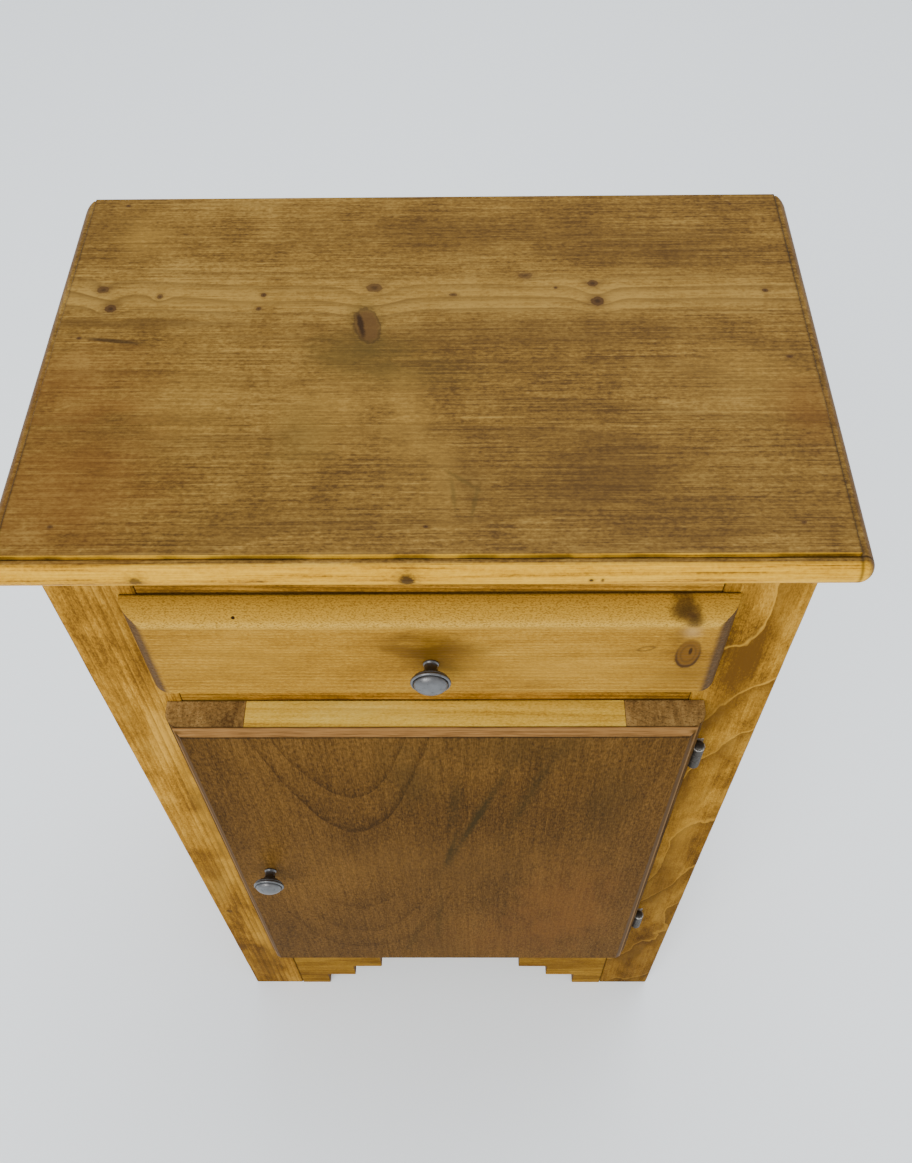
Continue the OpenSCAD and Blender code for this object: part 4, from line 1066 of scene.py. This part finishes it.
def metal_finish(name, metal, rough, scratch=0.10, dirt=0.5):
    """Clouded, finely scratched metal with grime: the finish, its colour, roughness and height."""
    colour, dark = metal
    finish = Finish(name)
    point = finish.object_point()
    cloud = finish.noise(point, 160.0, 4.0, 0.6)
    fine = finish.noise(point, 1400.0, 2.0, 0.5)
    grime = finish.noise(point, 420.0, 3.0, 0.6, 0.5).step(0.52, 0.72)
    tint = finish.mix((cloud - 0.25).held() * 0.9, colour, dark)
    tint = finish.mix(grime * dirt, tint, shade(dark, 0.55))
    roughness = (cloud - 0.5) * 0.25 + (fine - 0.5) * scratch + grime * 0.18 + rough
    finish.shader.inputs["Metallic"].default_value = 1.0
    return finish, tint, roughness, fine * 0.5 + cloud * 0.5


def pewter_finish():
    finish, tint, roughness, height = metal_finish("pewter", PEWTER, 0.40, 0.12, 0.35)
    return finish.surface(tint, roughness, height, 0.00004)


def iron_finish():
    """Blackened steel, rubbed bright where the surface turns an edge, with a painted highlight round the top
    rim of each barrel.
    """
    finish, tint, roughness, height = metal_finish("blackened_iron", IRON, 0.50)
    up = finish.facing()[2].size()
    rub_and_rim_highlight = up.line(0.50, 0.30) * 0.22
    level = finish.split(finish.object_point())[2]
    # A painted highlight: a bright ring round the top rim of each barrel.
    for hinge in ("upper", "lower"):
        barrel_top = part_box(hinge + "_hinge_post_leaf")[1].z
        rub_and_rim_highlight = rub_and_rim_highlight + level.line(barrel_top - 0.3 * MM, 0.5 * MM)
    patchy = finish.noise(finish.object_point(), 900.0, 3.0, 0.7).step(0.34, 0.60)
    rub_and_rim_highlight = (rub_and_rim_highlight * patchy).held()
    tint = finish.mix(rub_and_rim_highlight, tint, RUBBED_AND_HIGHLIGHT)
    finish.shader.inputs["Metallic"].default_value = 0.4
    return finish.surface(tint, roughness - rub_and_rim_highlight * 0.12, height, 0.00005, {"Specular IOR Level": 0.15})


def zinc_finish():
    finish, tint, roughness, height = metal_finish("zinc_steel", ZINC, 0.36)
    return finish.surface(tint, roughness, height, 0.00003)


KNOB_FOOT_R = 4.5 * MM
KNOB_FOOT_ROLL = 0.8 * MM
# (radius, height) of the stem above the foot, in mm
KNOB_STEM = ((4.2, 1.9), (4.1, 3.0), (4.2, 5.0), (4.8, 6.8), (6.2, 8.6))
# (radius, distance behind the rolled rim's middle) of the flare under the disc, in mm
KNOB_FLARE = ((8.0, 4.8), (10.0, 3.2))
KNOB_RIM_BACK = 6.2 * MM
KNOB_RIM_ROLL = 1.3 * MM
KNOB_GROOVE_IN = 1.9 * MM


def make_knob(node, body, finish):
    """A turned knob: foot, waisted stem, and a disc with a rolled rim, a groove and a low dome."""
    low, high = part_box(node)
    length = high.y - low.y
    rim = (high.x - low.x) / 2
    rim_at = length - KNOB_RIM_BACK
    roll_r = rim - KNOB_RIM_ROLL
    groove_r = rim - KNOB_GROOVE_IN
    crest = rim_at + 1.2 * MM
    profile = [(0.0, 0.0), (KNOB_FOOT_R, 0.0)]
    profile += arc((4.2 * MM, KNOB_FOOT_ROLL), KNOB_FOOT_ROLL, -60.0, 80.0, 5)
    profile += [(radius * MM, height * MM) for radius, height in KNOB_STEM]
    profile += [(radius * MM, rim_at - back * MM) for radius, back in KNOB_FLARE]
    profile += arc((10.3 * MM, rim_at - 2.0 * MM), 0.9 * MM, -70.0, 60.0, 5)
    profile += [(groove_r, rim_at - 1.3 * MM)]
    profile += arc((roll_r, rim_at), KNOB_RIM_ROLL, -80.0, 80.0, 9)
    profile += [(roll_r, crest), (rim - 1.5 * MM, crest - 0.70 * MM), (rim - 1.8 * MM, crest - 0.75 * MM),
                (groove_r, crest - 0.10 * MM)]
    profile += dome(groove_r, crest, length - crest, (4, 10, 18, 28, 40, 52, 66, 79))
    profile += [(0.0, length)]
    bm = turned(profile, 72)
    middle = Vector(((low.x + high.x) / 2, high.y, (low.z + high.z) / 2))
    bm.transform(Matrix.Translation(middle) @ Matrix.Rotation(math.radians(90.0), 4, "X"))
    bmesh.ops.recalc_face_normals(bm, faces=bm.faces[:])
    piece_from(bm, node + "_turned", body, finish, [node], smooth=50.0, weighted=False)


def make_hinges(iron):
    for level in ("upper", "lower"):
        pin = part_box(level + "_hinge_pin")
        axis = (pin[0] + pin[1]) / 2
        for part, body in (("post_leaf", "cabinet"), ("door_leaf", "door")):
            node = f"{level}_hinge_{part}"
            low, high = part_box(node)
            make_leaf(node, body, low, high, axis, iron)
        make_pin(level + "_hinge_pin", pin, axis, iron)


BARREL_R = 4.5 * MM
BARREL_EASE = 0.45 * MM
PIN_BORE_R = 2.1 * MM
KNUCKLE_GAP = 0.3 * MM
LEAF_T = 1.2 * MM
NECK_T = 2.4 * MM
LEAF_EASE = 0.25 * MM


def make_leaf(node, body, low, high, axis, iron):
    """Plate and knuckles of one leaf as separate shells in one piece."""
    knuckle = (high.z - low.z - 2 * KNUCKLE_GAP) / 3
    fixed = body == "cabinet"
    starts = (low.z, high.z - knuckle) if fixed else (low.z + knuckle + KNUCKLE_GAP,)
    inner_r = BARREL_R - BARREL_EASE
    outline = [(PIN_BORE_R, 0.0), (inner_r, 0.0)]
    outline += arc((inner_r, BARREL_EASE), BARREL_EASE, -70.0, 0.0, 3)
    outline += arc((inner_r, knuckle - BARREL_EASE), BARREL_EASE, 0.0, 70.0, 3)
    outline += [(inner_r, knuckle), (PIN_BORE_R, knuckle)]
    bm = bmesh.new()
    for start in starts:
        shell = turned(outline + outline[:1], 40)
        shell.transform(Matrix.Translation((axis.x, axis.y, start)))
        merge_into(bm, shell)
    plate_y = high.y - LEAF_T
    if fixed:
        plates = [(Vector((low.x, plate_y, low.z)), high)]
        plates += [(Vector((axis.x - 1.5 * MM, axis.y + 3.0 * MM, z)),
                    Vector((axis.x + 3.0 * MM, plate_y, z + knuckle))) for z in starts]
    else:
        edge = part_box("right_door_stile")[1].x
        plates = [(Vector((low.x, plate_y, low.z)), Vector((edge, high.y, high.z)))]
        for x, y in ((edge, plate_y), (axis.x - BARREL_R + 0.3 * MM, high.y - NECK_T)):
            plates += [(Vector((x, y, z)), Vector((axis.x, high.y, z + knuckle))) for z in starts]
    for corner, other in plates:
        block = block_mesh(corner, other)
        round_edges(block, block.edges[:], LEAF_EASE, 2)
        merge_into(bm, block)
    piece_from(bm, node + "_forged", body, iron, [node], smooth=45.0)


def merge_into(bm, part):
    """Moves one bmesh into another."""
    mesh = bpy.data.meshes.new("part")
    part.to_mesh(mesh)
    part.free()
    bm.from_mesh(mesh)
    bpy.data.meshes.remove(mesh)


PIN_HEAD_H = 2.4 * MM
PIN_HEAD_R = 4.0 * MM
PIN_HEAD_EASE = 0.25 * MM
PIN_HEAD_LIP = 0.5 * MM
PIN_R = 2.0 * MM


def make_pin(node, box, axis, iron):
    low, high = box
    half = (high.z - low.z) / 2 - PIN_HEAD_H
    upper = [(PIN_R, half), (PIN_HEAD_R - PIN_HEAD_EASE, half), (PIN_HEAD_R, half + PIN_HEAD_EASE)]
    upper += dome(PIN_HEAD_R, half + PIN_HEAD_LIP, PIN_HEAD_H - PIN_HEAD_LIP, (0, 12, 24, 38, 52, 66, 80))
    lower = [(r, -z) for r, z in reversed(upper)]
    bm = turned([(0.0, low.z - axis.z)] + lower + upper + [(0.0, high.z - axis.z)], 40)
    bm.transform(Matrix.Translation(axis))
    piece_from(bm, node + "_turned", "cabinet", iron, [node], smooth=50.0, weighted=False)


# ---------------------------------------------------------------- screws and nails


class FixingTree:
    """A geometry tree that sets a headed, pointed fixing on each vertex of a mesh, along its axis."""

    SIZES = ("Shank radius", "Head radius", "Head height", "Length", "Slot width")

    def __init__(self):
        self.tree = bpy.data.node_groups.new("fixings_on_points", "GeometryNodeTree")
        self.inputs = {}
        kinds = [("Geometry", "Geometry"), *((name, "Float") for name in self.SIZES), ("Metal", "Material")]
        for name, kind in kinds:
            socket = self.tree.interface.new_socket(name, in_out="INPUT", socket_type="NodeSocket" + kind)
            self.inputs[name] = socket.identifier
        self.tree.interface.new_socket("Geometry", in_out="OUTPUT", socket_type="NodeSocketGeometry")
        self.given = self.tree.nodes.new("NodeGroupInput").outputs
        self.build()

    def node(self, kind, settings=None, sockets=None):
        return add_node(self.tree, kind, settings, sockets).outputs[0]

    def maths(self, operation, first, second):
        return self.node("ShaderNodeMath", {"operation": operation}, {0: first, 1: second})

    def cone(self, bottom, top, depth):
        return self.node("GeometryNodeMeshCone", None,
                         {"Vertices": 24, "Radius Top": top, "Radius Bottom": bottom, "Depth": depth})

    def moved(self, geometry, lift):
        offset = self.node("ShaderNodeCombineXYZ", None, {2: lift})
        return self.node("GeometryNodeTransform", None, {"Geometry": geometry, "Translation": offset})

    def joined(self, *parts):
        made = self.tree.nodes.new("GeometryNodeJoinGeometry")
        for part in parts:
            self.tree.links.new(part, made.inputs[0])
        return made.outputs[0]

    def build(self):
        shank, head, height, length, slot = (self.given[name] for name in self.SIZES)
        disc = self.cone(head, shank, height)
        arm = self.maths("MULTIPLY", head, 1.5)
        deep = self.maths("MULTIPLY", height, 0.9)
        cross = []
        for sizes in ((arm, slot, deep), (slot, arm, deep)):
            size = self.node("ShaderNodeCombineXYZ", None, dict(enumerate(sizes)))
            cross.append(self.node("GeometryNodeMeshCube", None, {"Size": size}))
        cut = self.node("GeometryNodeMeshBoolean", {"operation": "DIFFERENCE"},
                        {"Mesh 1": disc, "Mesh 2": self.joined(*cross)})
        slotted = self.maths("GREATER_THAN", slot, 0.0)
        top = self.node("GeometryNodeSwitch", {"input_type": "GEOMETRY"},
                        {"Switch": slotted, "False": disc, "True": cut})
        point = self.maths("MULTIPLY", shank, 2.0)
        body = self.maths("SUBTRACT", self.maths("SUBTRACT", length, height), point)
        rod = self.moved(self.cone(shank, shank, body), height)
        blunt = self.maths("MULTIPLY", shank, 0.2)
        tip = self.moved(self.cone(shank, blunt, point), self.maths("ADD", height, body))
        axis = self.node("GeometryNodeInputNamedAttribute", {"data_type": "FLOAT_VECTOR"}, {"Name": "axis"})
        turn = self.node("FunctionNodeAlignRotationToVector", {"axis": "Z"}, {"Vector": axis})
        points = self.node("GeometryNodeMeshToPoints", None, {"Mesh": self.given["Geometry"]})
        placed = self.node("GeometryNodeInstanceOnPoints", None,
                           {"Points": points, "Instance": self.joined(top, rod, tip), "Rotation": turn})
        solid = self.node("GeometryNodeRealizeInstances", None, {0: placed})
        metal = self.node("GeometryNodeSetMaterial", None,
                          {"Geometry": solid, "Material": self.given["Metal"]})
        output = self.tree.nodes.new("NodeGroupOutput")
        self.tree.links.new(metal, output.inputs[0])

    def fill(self, places, sizes, metal):
        """The mesh of the fixings at the given (head, axis) places."""
        mesh = bpy.data.meshes.new("places")
        mesh.from_pydata([head for head, axis in places], [], [])
        stored = mesh.attributes.new("axis", "FLOAT_VECTOR", "POINT")
        for item, (head, axis) in zip(stored.data, places):
            item.vector = axis
        carrier = bpy.data.objects.new("places", mesh)
        bpy.context.scene.collection.objects.link(carrier)
        modifier = carrier.modifiers.new("fixings", "NODES")
        modifier.node_group = self.tree
        for name, value in zip(self.SIZES, sizes):
            modifier[self.inputs[name]] = value
        modifier[self.inputs["Metal"]] = metal
        shown = carrier.evaluated_get(bpy.context.evaluated_depsgraph_get())
        made = bpy.data.meshes.new_from_object(shown)
        bpy.data.objects.remove(carrier)
        bpy.data.meshes.remove(mesh)
        return made

    def dress(self, node, kind, metal):
        """Replaces a CAD node full of fixings by detailed ones in the same places."""
        shank_d, head_h, slot = kind
        bm = bmesh.new()
        for (length, head_d), places in sorted(fixing_places(node).items()):
            made = self.fill(places, (shank_d / 2, head_d / 2, head_h, length, slot), metal)
            bm.from_mesh(made)
            bpy.data.meshes.remove(made)
        piece_from(bm, node + "_detailed", BODY_OF[node], metal, [node], weighted=False)


def shells(node):
    """The separate solids in a CAD node, each as a list of points."""
    bm = bmesh.new()
    bm.from_mesh(frame["nodes"][node].data)
    bmesh.ops.remove_doubles(bm, verts=bm.verts[:], dist=1e-6)
    bm.verts.ensure_lookup_table()
    bm.verts.index_update()
    seen = set()
    found = []
    for first in bm.verts:
        if first.index in seen:
            continue
        seen.add(first.index)
        group = [first]
        for vert in group:
            for edge in vert.link_edges:
                other = edge.other_vert(vert)
                if other.index not in seen:
                    seen.add(other.index)
                    group.append(other)
        found.append([vert.co.copy() for vert in group])
    bm.free()
    return found


def fixing_places(node):
    """Heads and directions of a node's fixings, gathered by length and head diameter."""
    places = {}
    for group in shells(node):
        low = Vector([min(p[k] for p in group) for k in range(3)])
        high = Vector([max(p[k] for p in group) for k in range(3)])
        size = high - low
        k = max(range(3), key=lambda i: size[i])
        side = (k + 1) % 3
        middle = (low + high) / 2
        widest = max(group, key=lambda p: (round(abs(p[side] - middle[side]), 5), abs(p[k] - middle[k])))
        head_high = widest[k] > middle[k]
        axis = Vector([(-1.0 if head_high else 1.0) if i == k else 0.0 for i in range(3)])
        head = middle.copy()
        head[k] = high[k] if head_high else low[k]
        head_d = min(size[i] for i in range(3) if i != k)
        places.setdefault((round(size[k], 5), round(head_d, 5)), []).append((head, axis))
    return places


# shank diameter, head height and slot width
WOOD_SCREW = (4.0 * MM, 3.0 * MM, 0.9 * MM)
SMALL_SCREW = (2.4 * MM, 1.0 * MM, 0.6 * MM)
NAIL = (1.6 * MM, 0.6 * MM, 0.0)


def make_fixings(zinc, iron):
    tree = FixingTree()
    for nodes, kind, metal in (
            (("top_screws", "cleat_screws", "runner_screws", "drawer_front_screws"), WOOD_SCREW, zinc),
            (("catch_screws",), SMALL_SCREW, zinc),
            (("post_leaf_screws", "door_leaf_screws"), SMALL_SCREW, iron),
            (("back_nails", "drawer_nails"), NAIL, zinc)):
        for node in nodes:
            tree.dress(node, kind, metal)


def coat(material, *nodes):
    """Gives CAD nodes that show as they are a material."""
    for node in nodes:
        frame["nodes"][node].data.materials.clear()
        frame["nodes"][node].data.materials.append(material)


# ---------------------------------------------------------------- carcass and drawer box


NAIL_PROUD = 0.15 * MM
SIDE_BOARD_W = 135.0 * MM


def make_carcass():
    for node, seed in (("left_side_board", 70.0), ("right_side_board", 77.0)):
        low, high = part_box(node)
        wood = Pine(node + "_pine", "z", "y", GOLD, seed, pith=((low.y + high.y) / 2, 0.06), spacing=0.0065,
                    tilt=0.03, contrast=0.42, cloud=1.1, figure=0.2,
                    knots=((0.62, low.y + 0.07, 0.009, 0.007, 0.9), (0.33, low.y + 0.19, 0.007, 0.006, 0.85),
                           (0.17, low.y + 0.10, 0.005, 0.004, 0.8)))
        wood.seam(wood.v, low.y + SIDE_BOARD_W, 0.35 * MM, 0.35)
        wood.end_grain()
        board(node, wood.done(), ease=1.4 * MM, seed=seed)
    bare = {}
    for axis, across in (("x", "y"), ("y", "x"), ("x", "z")):
        wood = Pine("bare_pine_" + axis + across, axis, across, BARE, 81.0, pith=(0.03, -0.15), spacing=0.005,
                    contrast=0.35, cloud=0.5)
        wood.end_grain(shade(BARE[0], 0.8))
        bare[axis + across] = wood.done(0.62)
    for node, kind in (("cupboard_floor", "xy"), ("shelf", "xy"), ("back_top_rail", "xz"),
                       ("back_low_rail", "xz"), ("drawer_box_front", "xz"), ("drawer_back", "xz"),
                       ("drawer_bottom", "xy")):
        board(node, bare[kind], ease=0.8 * MM, seed=len(node) * 1.0)
    for part in ("floor_cleat", "shelf_cleat", "top_cleat", "runner", "guide", "kicker", "drawer_side"):
        for side in ("left_", "right_"):
            inset = NAIL_PROUD if part == "drawer_side" else 0.0
            board(side + part, bare["yx"], ease=0.8 * MM, seed=len(part) * 1.3, inset=inset)
    ply = Pine("back_ply", "z", "x", STRAW, 91.0, pith=(0.07, -0.05), spacing=0.012, tilt=0.08,
               contrast=0.35, cloud=0.8, figure=0.13,
               knots=in_metres(((550, 100, 12, 9, 0.7), (300, -90, 10, 8, 0.8))))
    board("back_panel", ply.done(0.6), ease=0.6 * MM, seed=9.0, inset=NAIL_PROUD)


def make_small_parts(zinc):
    plastic = Finish("brown_plastic")
    grain = plastic.noise(plastic.object_point(), 900.0, 2.0, 0.5)
    tint = plastic.mix(grain, (0.060, 0.030, 0.016), (0.085, 0.045, 0.026))
    plastic = plastic.surface(tint, (grain - 0.5) * 0.2 + 0.5, grain, 0.00003)
    board("door_catch", plastic, ease=1.5 * MM, wear=0.0)
    board("strike_plate", zinc, ease=0.3 * MM, wear=0.0)


# ---------------------------------------------------------------- run

make_camera()
make_lights()
make_floor()
make_top()
make_front_frame()
make_drawer_front()
make_door_frame()
make_door_skin()
pewter, iron, zinc = pewter_finish(), iron_finish(), zinc_finish()
make_knob("drawer_knob", "drawer", pewter)
make_knob("door_knob", "door", pewter)
make_hinges(iron)
make_carcass()
make_small_parts(zinc)
make_fixings(zinc, iron)
coat(zinc, "drawer_knob_screw", "door_knob_screw")
coat(Pine("dowel_beech", "x", "z", BARE, 95.0).done(0.6), "frame_dowels")
